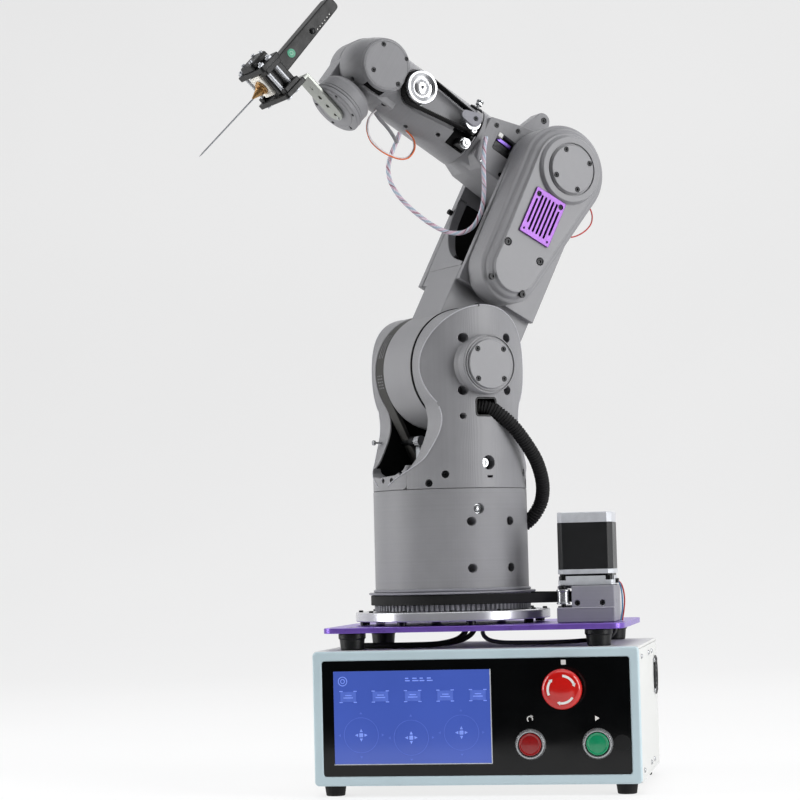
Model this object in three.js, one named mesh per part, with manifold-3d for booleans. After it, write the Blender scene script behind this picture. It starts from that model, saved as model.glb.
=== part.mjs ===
// Six-axis desktop robot arm on a flat purple plate, carried by its own control box.
// Millimetres, +Z up. X runs along the box front, Y runs from the front to the back.
import * as THREE from "three";
import Module from "manifold-3d";
import { mergeVertices } from "three/addons/utils/BufferGeometryUtils.js";

const wasm = await Module();
wasm.setup();

// ---- driving dimensions ----------------------------------------------------
const GAP = 0.3; // air left between neighbouring pieces

// control box, with the waist axis of the arm as x = y = 0 and the table as z = 0
const BOX = { left: -126, right: 204, front: -125, back: 120, bottom: 11, top: 146 };
const SHEET = 3; // wall of the box
const BEZEL_DEPTH = 8;
const BEZEL_BORDER = 9.5;
const FOOT_RADIUS = 11;
const ESTOP = { x: 129, z: 106, headRadius: 20, travel: 5 };
const RESET = { x: 94, z: 51 };
const START = { x: 161, z: 51 };
const SCREEN = { x: -27, z: 79.5, width: 157, height: 93 };
const FAN = { y: 84, z: 108, size: 40 };

// purple base plate on four posts
const PLATE = { left: -119, right: 189, front: -110, back: 110, bottom: 163.5, top: 169, corner: 14 };
const POST_INSET = { side: 27.5, end: 22 };

// waist (joint 1)
const RING = { radius: 102.5, bottom: 173.5, top: 183 };
const WAIST_PULLEY = { toothRadius: 82.5, flangeRadius: 88, bottom: 183.5, flangeBottom: 200.8, top: 203 };
const WAIST_BELT = { inner: 83, outer: 86, bottom: 190, top: 200.2 };
const WAIST_MOTOR = { x: 148, y: -40, pulleyRadius: 13, beltRadius: 13.5 };
const IDLER = { x: 125, y: -69.9, radius: 7 };
const NEMA23 = 56.4; // square flange of the waist and shoulder motors
const NEMA17 = 42.3; // square flange of the elbow motor

// arm proportions, in the plane of the arm
const ARM_HEADING = 218.5; // degrees from +X to the way the arm faces
const TURRET_RADIUS = 81;
const HOUSING = { bottom: 203.5, top: 309 };
const SHOULDER_HEIGHT = 436;
const UPPER_ARM = 234;
const UPPER_ARM_LEAN = 27.2; // degrees backwards
const FOREARM = 218.7;
const FOREARM_RISE = 30.2; // degrees above the horizon
const WRIST_DROP = 46; // degrees below the horizon

// widths across the arm: n is positive towards the side with the covers
const SHOULDER_NEAR = 37;
const SHOULDER_FAR = -44;
const CHEEK_RADIUS = 62.5;
const DRUM = { radius: 63, near: 36.4, far: -26 };
const SHOULDER_PULLEY = { radius: 57, near: -26, far: -42.5 };
const MOTOR_PULLEY_RADIUS = 15;
const ELBOW_NEAR = 37.3;
const ELBOW_FAR = -35;
const FOREARM_RADIUS = 34;
const J4_SEAM = 91; // from the elbow axis, along the forearm
const WRIST_SPLIT = -3.5; // forearm drum on the near side of it, wrist drum on the far side
const FLANGE = { radius: 30, back: 56, front: 64.5 };

const CORDS = ["wire_harness", "cable_hose", "base_cable"]; // loose lines, left out of the footprint

// ---- geometry helpers ------------------------------------------------------
const rad = THREE.MathUtils.degToRad;

// box between two corners
function box(x0, x1, y0, y1, z0, z1) {
  const shape = new THREE.BoxGeometry(x1 - x0, y1 - y0, z1 - z0);
  return shape.translate((x0 + x1) / 2, (y0 + y1) / 2, (z0 + z1) / 2);
}

// round bar along X, Y or Z; its two ends may have different radii
function rodX(y, z, x0, x1, r0, r1 = r0, sides = 28) {
  const bar = new THREE.CylinderGeometry(r1, r0, x1 - x0, sides).rotateZ(-Math.PI / 2);
  return bar.translate((x0 + x1) / 2, y, z);
}
function rodY(x, z, y0, y1, r0, r1 = r0, sides = 28) {
  return new THREE.CylinderGeometry(r1, r0, y1 - y0, sides).translate(x, (y0 + y1) / 2, z);
}
function rodZ(x, y, z0, z1, r0, r1 = r0, sides = 28) {
  const bar = new THREE.CylinderGeometry(r1, r0, z1 - z0, sides).rotateX(Math.PI / 2);
  return bar.translate(x, y, (z0 + z1) / 2);
}

// outline drawn in X and Z, given thickness along Y
function slab(outline, y0, y1) {
  const options = { depth: y1 - y0, bevelEnabled: false, curveSegments: 12 };
  return new THREE.ExtrudeGeometry(outline, options).rotateX(Math.PI / 2).translate(0, y1, 0);
}

// outline drawn in X and Y, given thickness along Z
function flat(outline, z0, z1, curveSegments = 8) {
  const options = { depth: z1 - z0, bevelEnabled: false, curveSegments };
  return new THREE.ExtrudeGeometry(outline, options).translate(0, 0, z0);
}

// closed outline through corner points
function polygon(points) {
  return new THREE.Shape(points.map(([x, y]) => new THREE.Vector2(x, y)));
}

// two circles joined by their outer tangents
function stadium(ax, ay, ar, bx, by, br) {
  const heading = Math.atan2(by - ay, bx - ax);
  const spread = Math.acos((ar - br) / Math.hypot(bx - ax, by - ay));
  const outline = new THREE.Shape();
  outline.absarc(ax, ay, ar, heading + spread, heading - spread + 2 * Math.PI, false);
  outline.absarc(bx, by, br, heading - spread, heading + spread, false);
  return outline;
}

// rectangle with round corners
function roundedRectangle(x0, x1, y0, y1, r) {
  const outline = new THREE.Shape();
  outline.absarc(x1 - r, y1 - r, r, 0, Math.PI / 2, false);
  outline.absarc(x0 + r, y1 - r, r, Math.PI / 2, Math.PI, false);
  outline.absarc(x0 + r, y0 + r, r, Math.PI, 1.5 * Math.PI, false);
  outline.absarc(x1 - r, y0 + r, r, 1.5 * Math.PI, 2 * Math.PI, false);
  return outline;
}

// body of revolution about Z from [radius, height] pairs
function turned(profile, sides = 28) {
  const points = profile.map(([r, z]) => new THREE.Vector2(r, z));
  return new THREE.LatheGeometry(points, sides).rotateX(Math.PI / 2);
}

// round tube through a list of points
function tube(points, radius, steps, sides) {
  const path = new THREE.CatmullRomCurve3(points.map((p) => new THREE.Vector3(...p)));
  const section = new THREE.Shape();
  for (let i = 0; i < sides; i += 1) {
    const turn = (2 * Math.PI * i) / sides;
    const [x, y] = [radius * Math.cos(turn), radius * Math.sin(turn)];
    if (i === 0) section.moveTo(x, y);
    else section.lineTo(x, y);
  }
  return new THREE.ExtrudeGeometry(section, { steps, extrudePath: path, bevelEnabled: false });
}

// boolean work: a geometry becomes a solid, and the result a geometry again
function solidOf(geometry) {
  const plain = new THREE.BufferGeometry();
  plain.setAttribute("position", geometry.getAttribute("position").clone());
  if (geometry.index) plain.setIndex(geometry.index.clone());
  const merged = mergeVertices(plain, 1e-4);
  const vertProperties = new Float32Array(merged.getAttribute("position").array);
  const triVerts = new Uint32Array(merged.index.array);
  return new wasm.Manifold(new wasm.Mesh({ numProp: 3, vertProperties, triVerts }));
}
function geometryOf(solid) {
  const mesh = solid.getMesh();
  const geometry = new THREE.BufferGeometry();
  geometry.setAttribute("position", new THREE.BufferAttribute(mesh.vertProperties, 3));
  geometry.setIndex(new THREE.BufferAttribute(mesh.triVerts, 1));
  geometry.computeVertexNormals();
  return geometry;
}
function join(first, ...others) {
  return geometryOf(others.reduce((sum, next) => sum.add(solidOf(next)), solidOf(first)));
}
function cut(first, ...tools) {
  return geometryOf(tools.reduce((rest, tool) => rest.subtract(solidOf(tool)), solidOf(first)));
}
function common(first, second) {
  return geometryOf(solidOf(first).intersect(solidOf(second)));
}

// ---- materials -------------------------------------------------------------
function look(color, roughness, metalness = 0) {
  return () => new THREE.MeshStandardMaterial({ color, roughness, metalness });
}
const greyPrint = look(0x8f9092, 0.55);
const greyTrim = look(0x7c7d80, 0.55);
const blackPlastic = look(0x17181a, 0.5);
const blackRubber = look(0x101112, 0.85);
const blackGloss = look(0x08090b, 0.08);
const whiteSheet = look(0xe9ebea, 0.45, 0.1);
const bezelBlue = look(0xa5c3cd, 0.35);
const aluminium = look(0xc8cacc, 0.3, 1);
const purpleAnodised = look(0x7a4fc0, 0.35, 0.9);
const purpleGrille = look(0xc88ce6, 0.35, 0.8);
const redGloss = look(0xc81914, 0.25);
const darkRed = look(0x8a0a10, 0.3);
const greenGloss = look(0x0a8258, 0.25);
const screenBlue = look(0x3c55aa, 0.12);
const circuitGreen = look(0x1d6b3c, 0.6);
const steel = look(0xb4b6b8, 0.3, 1);
const paleGrey = look(0xbebfb9, 0.4, 0.3);
const whiteCeramic = look(0xece7dc, 0.6);
const brass = look(0xb98a45, 0.3, 1);
const wireBraid = look(0xc9c4cf, 0.7);

// ---- scene graph -----------------------------------------------------------
const robot = new THREE.Group();

function place(parent, name, geometry, material) {
  const mesh = new THREE.Mesh(geometry, material());
  mesh.name = name;
  parent.add(mesh);
}

// a frame in the plane of the arm, turned about the axis across it
function armFrame(parent, x, z, pitch) {
  const frame = new THREE.Group();
  frame.position.set(x, 0, z);
  frame.rotation.y = rad(pitch);
  parent.add(frame);
  return frame;
}

const arm = new THREE.Group();
arm.rotation.z = rad(ARM_HEADING);
robot.add(arm);

const lean = rad(UPPER_ARM_LEAN);
const rise = rad(FOREARM_RISE);
const elbow = { x: -UPPER_ARM * Math.sin(lean), z: SHOULDER_HEIGHT + UPPER_ARM * Math.cos(lean) };
const wrist = { x: elbow.x + FOREARM * Math.cos(rise), z: elbow.z + FOREARM * Math.sin(rise) };

const upperFrame = armFrame(arm, 0, SHOULDER_HEIGHT, -UPPER_ARM_LEAN);
const foreFrame = armFrame(arm, elbow.x, elbow.z, -FOREARM_RISE);
const wristFrame = armFrame(arm, wrist.x, wrist.z, WRIST_DROP);

// ---- control box -----------------------------------------------------------
function buildFeet() {
  for (const [end, x] of [["left", BOX.left + 17], ["right", BOX.right - 17]]) {
    for (const [side, y] of [["front", BOX.front + 22], ["rear", BOX.back - 20]]) {
      const foot = rodZ(x, y, 0, BOX.bottom - GAP, FOOT_RADIUS - 1.5, FOOT_RADIUS, 32);
      place(robot, `foot_${side}_${end}`, foot, blackRubber);
    }
  }
}

function buildShell() {
  const { left, right, back, bottom, top } = BOX;
  const front = BOX.front + BEZEL_DEPTH + GAP;
  const inner = [left + SHEET + GAP, right - SHEET - GAP];
  place(robot, "box_floor", box(left, right, front, back, bottom, bottom + SHEET), whiteSheet);
  place(robot, "box_top", box(left, right, front, back, top - SHEET, top), whiteSheet);
  const wall = [front, back, bottom + SHEET + GAP, top - SHEET - GAP];
  place(robot, "box_left_wall", box(left, left + SHEET, ...wall), whiteSheet);
  const rightWall = box(right - SHEET, right, ...wall);
  const ventRadius = FAN.size / 2 - 2;
  const vent = rodX(FAN.y, FAN.z, right - 2 * SHEET, right + SHEET, ventRadius, ventRadius, 24);
  place(robot, "box_right_wall", cut(rightWall, vent), whiteSheet);
  const rear = box(...inner, back - SHEET, back, bottom + SHEET + GAP, top - SHEET - GAP);
  place(robot, "box_rear_wall", rear, whiteSheet);
}

// holes for the three switches, through the bezel and the black panel
function switchHoles(y0, y1) {
  const holes = [rodY(ESTOP.x, ESTOP.z, y0, y1, 11.3, 11.3, 24)];
  for (const button of [RESET, START]) holes.push(rodY(button.x, button.z, y0, y1, 13.5, 13.5, 28));
  return holes;
}

function buildFront() {
  const { left, right, front, bottom, top } = BOX;
  const rim = BEZEL_BORDER;
  const recess = box(left + rim, right - rim, front - 1, front + 2.5, bottom + rim, top - rim);
  const slabFront = box(left, right, front, front + BEZEL_DEPTH, bottom, top);
  const bezel = cut(slabFront, recess, ...switchHoles(front - 1, front + BEZEL_DEPTH + 1));
  place(robot, "front_bezel", bezel, bezelBlue);

  const edge = rim + GAP;
  const sheet = box(left + edge, right - edge, front + 0.6, front + 2.2, bottom + edge, top - edge);
  place(robot, "front_panel", cut(sheet, ...switchHoles(front - 1, front + 4)), blackGloss);

  const { x, z, width, height } = SCREEN;
  const [halfWidth, halfHeight] = [width / 2, height / 2];
  const glass = box(x - halfWidth, x + halfWidth, front - 0.2, front + 0.3, z - halfHeight, z + halfHeight);
  place(robot, "touch_screen", glass, screenBlue);
}

function buildEmergencyStop() {
  const { x, z, headRadius } = ESTOP;
  const face = BOX.front + 0.3; // where the collar rests on the panel
  const body = join(
    rodY(x, z, face - 7, face, 14.5, 16, 36),
    rodY(x, z, face - 1, face + 26, 11, 11, 24),
    box(x - 15, x + 15, face + 22, face + 52, z - 15, z + 15),
  );
  place(robot, "estop_base", cut(body, rodY(x, z, face - 8, face + 44, 5.4, 5.4, 20)), blackPlastic);
  const neckEnd = face - 7 - ESTOP.travel - 1.5;
  place(robot, "estop_stem", rodY(x, z, neckEnd, face + 34, 5, 5, 20), steel);
  const head = turned([
    [0, 0], [headRadius - 4, 0], [headRadius, 3.5], [headRadius, 7],
    [headRadius - 2, 10], [headRadius - 7, 12], [0, 13],
  ], 32);
  head.rotateX(Math.PI / 2).translate(x, neckEnd - GAP, z);
  place(robot, "estop_head", head, redGloss);
}

function buildPushButton(name, button, material) {
  const { x, z } = button;
  const face = BOX.front + 0.3;
  const shell = join(
    rodY(x, z, face - 4.5, face, 14, 15, 36),
    rodY(x, z, face - 1, face + 24, 13.1, 13.1, 28),
    box(x - 14, x + 14, face + 20, face + 42, z - 14, z + 14),
  );
  const bore = rodY(x, z, face - 5, face + 4.5, 11.6, 11.6, 36);
  const guide = rodY(x, z, face, face + 30, 8.4, 8.4, 24);
  place(robot, `${name}_switch`, cut(shell, bore, guide), blackPlastic);
  const cap = join(
    rodY(x, z, face - 6, face, 10.6, 11.2, 36),
    rodY(x, z, face - 0.5, face + 24, 8, 8, 24),
  );
  place(robot, `${name}_button`, cap, material);
}

function buildElectronics() {
  const floor = BOX.bottom + SHEET + GAP;
  place(robot, "power_supply", box(-110, 0, -10, 105, floor, floor + 50), aluminium);
  place(robot, "controller_board", box(20, 170, -20, 80, floor + 8, floor + 10), circuitGreen);
  const wall = BOX.right - SHEET - GAP;
  const half = FAN.size / 2;
  const frame = box(wall - 10, wall, FAN.y - half, FAN.y + half, FAN.z - half, FAN.z + half);
  const tunnel = rodX(FAN.y, FAN.z, wall - 8, wall + 1, half - 1.5, half - 1.5, 32);
  place(robot, "fan_frame", cut(frame, tunnel), blackPlastic);
  const hub = rodX(FAN.y, FAN.z, wall - 7.5, wall - 1, 7, 7, 24);
  const blades = [];
  for (let i = 0; i < 7; i += 1) {
    const blade = box(-2.8, 2.8, -1, 1, 5, half - 2.5).rotateZ(rad(35)).rotateX((2 * Math.PI * i) / 7);
    blades.push(blade.translate(wall - 4.2, FAN.y, FAN.z));
  }
  place(robot, "fan_rotor", join(hub, ...blades), blackPlastic);
}

// ---- base plate and waist drive ---------------------------------------------
function buildPlate() {
  const { left, right, front, back, bottom, top, corner } = PLATE;
  const sheet = flat(roundedRectangle(left, right, front, back, corner), bottom, top);
  place(robot, "base_plate", sheet, purpleAnodised);
  for (const [end, x] of [["left", left + POST_INSET.side], ["right", right - POST_INSET.side]]) {
    for (const [side, y] of [["front", front + POST_INSET.end], ["rear", back - POST_INSET.end]]) {
      const post = rodZ(x, y, BOX.top + GAP, bottom - GAP, 12, 14, 32);
      place(robot, `post_${side}_${end}`, post, blackRubber);
    }
  }
}

function buildRing() {
  const ring = [rodZ(0, 0, RING.bottom, RING.top, RING.radius, RING.radius, 48)];
  for (let i = 0; i < 8; i += 1) {
    const turn = rad(45 * i + 20);
    const [x, y] = [94 * Math.cos(turn), 94 * Math.sin(turn)];
    ring.push(rodZ(x, y, PLATE.top + GAP, RING.bottom + 1, 5, 5, 12));
  }
  place(robot, "bearing_ring", join(...ring), aluminium);
}

function buildWaistDrive() {
  const { x, y, pulleyRadius } = WAIST_MOTOR;
  const [x0, x1, y0, y1] = [x - 29.5, x + 29.5, y - 35, y + 35];
  const deck = 206.5;
  const bracket = cut(
    box(x0, x1, y0, y1, PLATE.top + GAP, deck),
    box(x0 - 1, x1 - 5, y0 + 5, y1 + 1, 186, deck - 2.8),
    box(x0 - 1, IDLER.x + 9, y0 - 1, y0 + 12, 184, deck + 1),
    rodZ(x, y, deck - 6, deck + 1, 20, 20, 24),
  );
  place(robot, "motor_bracket", bracket, greyTrim);

  const half = NEMA23 / 2;
  const chamfer = 5;
  const corners = [
    [x - half + chamfer, y - half], [x + half - chamfer, y - half], [x + half, y - half + chamfer],
    [x + half, y + half - chamfer], [x + half - chamfer, y + half], [x - half + chamfer, y + half],
    [x - half, y + half - chamfer], [x - half, y - half + chamfer],
  ];
  const motor = join(
    flat(polygon(corners), deck + GAP, deck + 74.8),
    rodZ(x, y, deck - 3, deck + 1, 19, 19, 24),
    rodZ(x, y, deck - 19.5, deck + 1, 3.2, 3.2, 16),
  );
  place(robot, "waist_motor", motor, blackPlastic);
  const pulley = cut(
    rodZ(x, y, 188.5, 202.5, pulleyRadius, pulleyRadius, 32),
    rodZ(x, y, 180, 210, 3.5, 3.5, 16),
  );
  place(robot, "waist_drive_pulley", pulley, aluminium);
}

// belt outline around the big pulley and the drive pulley, with an offset for its two faces
function beltOutline(offset) {
  const { x, y, beltRadius } = WAIST_MOTOR;
  return stadium(0, 0, WAIST_BELT.inner + offset, x, y, beltRadius + offset);
}

function buildWaistBelt() {
  const thickness = WAIST_BELT.outer - WAIST_BELT.inner;
  const outer = flat(beltOutline(thickness), WAIST_BELT.bottom, WAIST_BELT.top, 26);
  const inner = flat(beltOutline(0), WAIST_BELT.bottom - 1, WAIST_BELT.top + 1, 26);
  place(robot, "waist_belt", cut(outer, inner), blackRubber);
  const idler = cut(
    rodZ(IDLER.x, IDLER.y, 188, 203, IDLER.radius, IDLER.radius, 28),
    rodZ(IDLER.x, IDLER.y, 180, 210, 2.6, 2.6, 16),
  );
  place(robot, "belt_idler", idler, aluminium);
}

function buildBaseCable() {
  const route = [
    [176, -60, 162.6], [175.3, -60.2, 159.6], [173.2, -60.8, 156.6], [170, -61.8, 154.6],
    [166, -63.2, 153.6], [150, -70, 151.4], [110, -82, 150], [70, -87.5, 150.8], [56, -86.5, 152.2],
    [49, -85, 154.2], [44.8, -83.8, 157.4], [43.2, -83.2, 160.4], [42.8, -83, 162.6],
  ];
  place(robot, "base_cable", tube(route, 2.2, 32, 8), blackRubber);
}

// ---- turret -----------------------------------------------------------------
// corrugated hose from the port under the shoulder boss round into the turret's side,
// as points (forwards, across, up) in the upright frame of the arm
const HOSE_RADIUS = 7.2;
const HOSE_ROUTE = [
  [6, 69, 394], [-5, 76, 391.5], [-17, 81, 384], [-31, 83.5, 371], [-47, 82, 353], [-61, 78, 335],
  [-72, 70, 314], [-77, 59, 296], [-74, 50, 282], [-69, 41, 273], [-61, 33, 266],
];

// the space that the hose takes out of the pieces it runs into
function hoseRoom() {
  return tube(HOSE_ROUTE, HOSE_RADIUS + 0.5, 22, 10);
}

function buildTurret() {
  const { toothRadius, flangeRadius, bottom, flangeBottom, top } = WAIST_PULLEY;
  const wheel = turned([
    [0, bottom], [toothRadius, bottom], [toothRadius, flangeBottom], [flangeRadius, flangeBottom],
    [flangeRadius, top], [0, top],
  ], 48);
  place(arm, "waist_pulley", wheel, greyTrim);
  const housing = cut(
    rodZ(0, 0, HOUSING.bottom, HOUSING.top, TURRET_RADIUS, TURRET_RADIUS, 48),
    rodZ(0, 0, HOUSING.bottom - 1, HOUSING.top - 8, 34, 34, 24),
    hoseRoom(),
  );
  place(arm, "turret_housing", housing, greyPrint);
}

// side view of a shoulder cheek: round head, narrow waist and a foot as wide as the turret
function cheekOutline() {
  const foot = HOUSING.top + GAP;
  const outline = new THREE.Shape();
  const start = rad(-38);
  const headX = CHEEK_RADIUS * Math.cos(start);
  const headZ = SHOULDER_HEIGHT + CHEEK_RADIUS * Math.sin(start);
  outline.absarc(0, SHOULDER_HEIGHT, CHEEK_RADIUS, start, Math.PI - start, false);
  outline.bezierCurveTo(-headX + 8, headZ - 20, -48, 366, -58, 345);
  outline.bezierCurveTo(-64, 332, -TURRET_RADIUS, 326, -TURRET_RADIUS, foot);
  outline.lineTo(TURRET_RADIUS, foot);
  outline.bezierCurveTo(TURRET_RADIUS, 326, 64, 332, 58, 345);
  outline.bezierCurveTo(48, 366, headX - 8, headZ - 20, headX, headZ);
  return outline;
}

function buildCheeks() {
  const turretColumn = rodZ(0, 0, HOUSING.top, 520, TURRET_RADIUS, TURRET_RADIUS, 48);
  const nearCheek = common(slab(cheekOutline(), SHOULDER_NEAR, TURRET_RADIUS + 4), turretColumn);
  const nearBoss = rodY(0, SHOULDER_HEIGHT, SHOULDER_NEAR + 10, 90, 31, 31, 32);
  const cap = rodY(0, SHOULDER_HEIGHT, 89, 92.6, 26, 26, 28);
  const port = box(-12, 12, 62, 84, 383, 402);
  place(arm, "shoulder_cheek_near", cut(join(nearCheek, nearBoss, cap), port, hoseRoom()), greyPrint);
  const farCheek = common(slab(cheekOutline(), -TURRET_RADIUS - 4, SHOULDER_FAR), turretColumn);
  place(arm, "shoulder_cheek_far", farCheek, greyPrint);
}

function motorAcross(x, z, size, n0, n1) {
  const half = size / 2;
  return slab(roundedRectangle(x - half, x + half, z - half, z + half, 4), n0, n1);
}

function buildShoulderDrive() {
  const z = HOUSING.top + NEMA23 / 2 + 1.5;
  const motor = join(
    motorAcross(0, z, NEMA23, -22, 34),
    rodY(0, z, -42, -21, 3.2, 3.2, 16),
  );
  place(arm, "shoulder_motor", motor, blackPlastic);
  const r = MOTOR_PULLEY_RADIUS;
  const pulley = cut(rodY(0, z, -40, -25, r, r, 32), rodY(0, z, -44, -20, 3.5, 3.5, 16));
  place(arm, "shoulder_motor_pulley", pulley, aluminium);
}

function buildHose() {
  place(arm, "cable_hose", tube(HOSE_ROUTE, HOSE_RADIUS, 22, 10), blackRubber);
}

// ---- upper arm: X is forwards, Z runs from the shoulder to the elbow ---------
// curved web at the front, from the far side down to the deck, as points (across, up)
function frontWeb() {
  const outline = polygon([
    [ELBOW_FAR, 97], [35, 97], [35, 102], [8, 111], [-12, 126], [-27.5, 146], [-33, 162], [-34.4, 176],
    [ELBOW_FAR, 190],
  ]);
  return slab(outline, -50, -40).rotateZ(Math.PI / 2);
}

function buildUpperArm() {
  const { radius } = SHOULDER_PULLEY;
  const drum = join(
    rodY(0, 0, DRUM.far, DRUM.near, DRUM.radius, DRUM.radius, 48),
    rodY(0, 0, SHOULDER_PULLEY.far, SHOULDER_PULLEY.near + 1, radius, radius, 48),
    box(-50, 50, DRUM.far, DRUM.near, 20, 81),
    box(-50, 50, ELBOW_FAR, ELBOW_NEAR + 0.5, 80, 98),
    frontWeb(),
    box(-50, -44, ELBOW_FAR, ELBOW_NEAR + 0.5, 97, 156),
  );
  place(upperFrame, "upper_arm_core", drum, greyPrint);
  const plateOutline = () => stadium(0, 112, 50, 0, UPPER_ARM, 50);
  const farSide = [ELBOW_FAR - 10, ELBOW_FAR - 0.5];
  const farPlate = join(slab(plateOutline(), ...farSide), box(-50, 50, ...farSide, 80, 112));
  const belowFoot = box(-60, 60, -70, 70, 0, 80);
  place(upperFrame, "upper_arm_far_plate", cut(farPlate, belowFoot), greyPrint);
  const nearSide = [ELBOW_NEAR + 1, 45];
  const nearPlate = join(slab(plateOutline(), ...nearSide), box(-50, 50, ...nearSide, 80, 112));
  place(upperFrame, "upper_arm_near_plate", cut(nearPlate, belowFoot), greyPrint);
}

function buildElbowCover() {
  const base = slab(stadium(12, 108, 36, 0, UPPER_ARM, 50), 45 + GAP, 74);
  const step = slab(stadium(12, 108, 32, 0, UPPER_ARM, 45), 73, 80);
  const face = slab(stadium(12, 108, 28, 0, UPPER_ARM, 40), 79, 85);
  const boss = rodY(0, UPPER_ARM, 84, 90, 36, 34, 32);
  const cap = rodY(0, UPPER_ARM, 89, 92.8, 26, 26, 28);
  place(upperFrame, "elbow_cover", join(base, step, face, boss, cap), greyPrint);
  const grille = box(-11.5, 27.5, 85 + GAP, 87.5, 145, 198);
  const slots = [];
  for (let i = 0; i < 7; i += 1) {
    const inset = i === 0 || i === 6 ? 12 : 6;
    const x = -6.5 + 4.85 * i;
    slots.push(box(x - 1.1, x + 1.1, 85, 88, 145 + inset, 198 - inset));
  }
  place(upperFrame, "vent_grille", cut(grille, ...slots), purpleGrille);
}

function buildElbowMotor() {
  const motor = join(motorAcross(0, 126, NEMA17, -24, 26), rodY(0, 126, 25, 35, 2.5, 2.5, 16));
  place(upperFrame, "elbow_motor", motor, blackPlastic);
}

// ---- forearm frame: X runs from the elbow to the wrist ------------------------
function buildElbow() {
  const barrel = rodX(0, 0, 8, J4_SEAM - GAP, FOREARM_RADIUS, FOREARM_RADIUS, 36);
  const hub = rodY(0, 0, ELBOW_FAR + 0.3, ELBOW_NEAR, 42, 42, 36);
  const bridge = slab(polygon([[4, -36], [70, -33], [86, -26], [86, 22], [50, 34], [8, 46]]), -30, 34);
  const lug = slab(stadium(26, 30, 20, 25, 59.5, 9), 4, 22);
  const slot = box(45, 70, 22, 40, -8, 13);
  place(foreFrame, "elbow_block", cut(join(barrel, hub, bridge, lug), slot), greyPrint);
}

// flat pocket on the near side of the forearm, where the wrist belt runs
const BELT_FACE = 27;
const WRIST_PULLEY = { v: 174.5, w: -3, radius: 17 };
const WRIST_MOTOR_PULLEY = { v: 105, w: 1, radius: 8 };

function buildForearm() {
  const shell = rodX(0, -3, J4_SEAM, 196, FOREARM_RADIUS, FOREARM_RADIUS, 36);
  const collar = rodX(0, 0, J4_SEAM, J4_SEAM + 10, FOREARM_RADIUS, FOREARM_RADIUS, 36);
  const drum = rodY(FOREARM, -3, WRIST_SPLIT, 36, 34.5, 28.4, 36);
  const neck = box(185, 212, WRIST_SPLIT, 24, -34, 22);
  const pocket = slab(stadium(WRIST_MOTOR_PULLEY.v, 1, 16, WRIST_PULLEY.v - 2, -2, 22), BELT_FACE, 50);
  const notch = box(206, 228, 24, 35.4, -38, -25);
  const wristRoom = rodY(FOREARM, 0, -60, WRIST_SPLIT, 36, 36, 36);
  const cap = rodY(FOREARM + 0.8, -4.5, 35, 40, 27.2, 26.8, 32);
  const { v, w, radius } = WRIST_MOTOR_PULLEY;
  const motorPulley = join(
    rodY(v, w, BELT_FACE - 2, 42, radius, radius, 28),
    slab(stadium(v - 1, 0, 12, v + 15, 0, 7), 41.5, 44.5),
  );
  const body = join(cut(join(shell, collar, neck, drum, cap), pocket, notch, wristRoom), motorPulley);
  place(foreFrame, "forearm_shell", body, greyPrint);
}

function buildWristBelt() {
  const { v, w, radius } = WRIST_PULLEY;
  const small = WRIST_MOTOR_PULLEY;
  const pulley = join(
    rodY(v, w, BELT_FACE + 0.5, 41, radius, radius, 40),
    rodY(v, w, 40, 45, radius + 0.5, radius + 0.5, 40),
  );
  place(foreFrame, "wrist_belt_pulley", pulley, aluminium);
  const outer = slab(stadium(v, w, radius + 2.6, small.v, small.w, small.radius + 2.6), 29.5, 39.5);
  const inner = slab(stadium(v, w, radius + 0.5, small.v, small.w, small.radius + 0.5), 28, 41);
  place(foreFrame, "wrist_belt", cut(outer, inner), blackRubber);
}

// harness hanging in a loop from the elbow block to the underside of the forearm,
// written in the upright frame of the arm
function buildHarness() {
  const route = [
    [-32, 41, 682], [-28.5, 42.5, 670], [-26.5, 43.5, 652], [-26.5, 43.5, 634], [-26, 42.5, 616],
    [-22.5, 41, 600], [-15, 38, 586.5], [-3, 34, 579.5], [12, 29, 580.5], [27, 24, 588], [42.5, 19, 600],
    [57, 13.5, 615], [66, 9, 631], [68, 6, 645], [65, 3.5, 657], [59.5, 1.5, 669], [54, 0.5, 679], [50, 0, 688],
  ];
  place(arm, "wire_harness", tube(route, 2.4, 32, 8), wireBraid);
}

// ---- wrist frame: X is the roll axis of the tool ------------------------------
function buildWrist() {
  const drum = rodY(0, 0, -33, WRIST_SPLIT - GAP, 34, 34, 36);
  const neck = slab(polygon([[0, -24], [42, -18], [42, 27], [0, 32]]), -30, WRIST_SPLIT - GAP);
  const housing = rodX(0, 0, 38, 44.5, 24, 29, 32);
  const collar = rodX(0, 0, 44.4, FLANGE.back - GAP, 29, 29, 32);
  place(wristFrame, "wrist_body", join(drum, neck, housing, collar), greyPrint);
  const disc = rodX(0, 0, FLANGE.back, FLANGE.front, FLANGE.radius, FLANGE.radius, 36);
  place(wristFrame, "tool_flange", disc, greyTrim);
}

const TOOL_AXIS = 71; // distance of the tool from the roll axis

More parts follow.
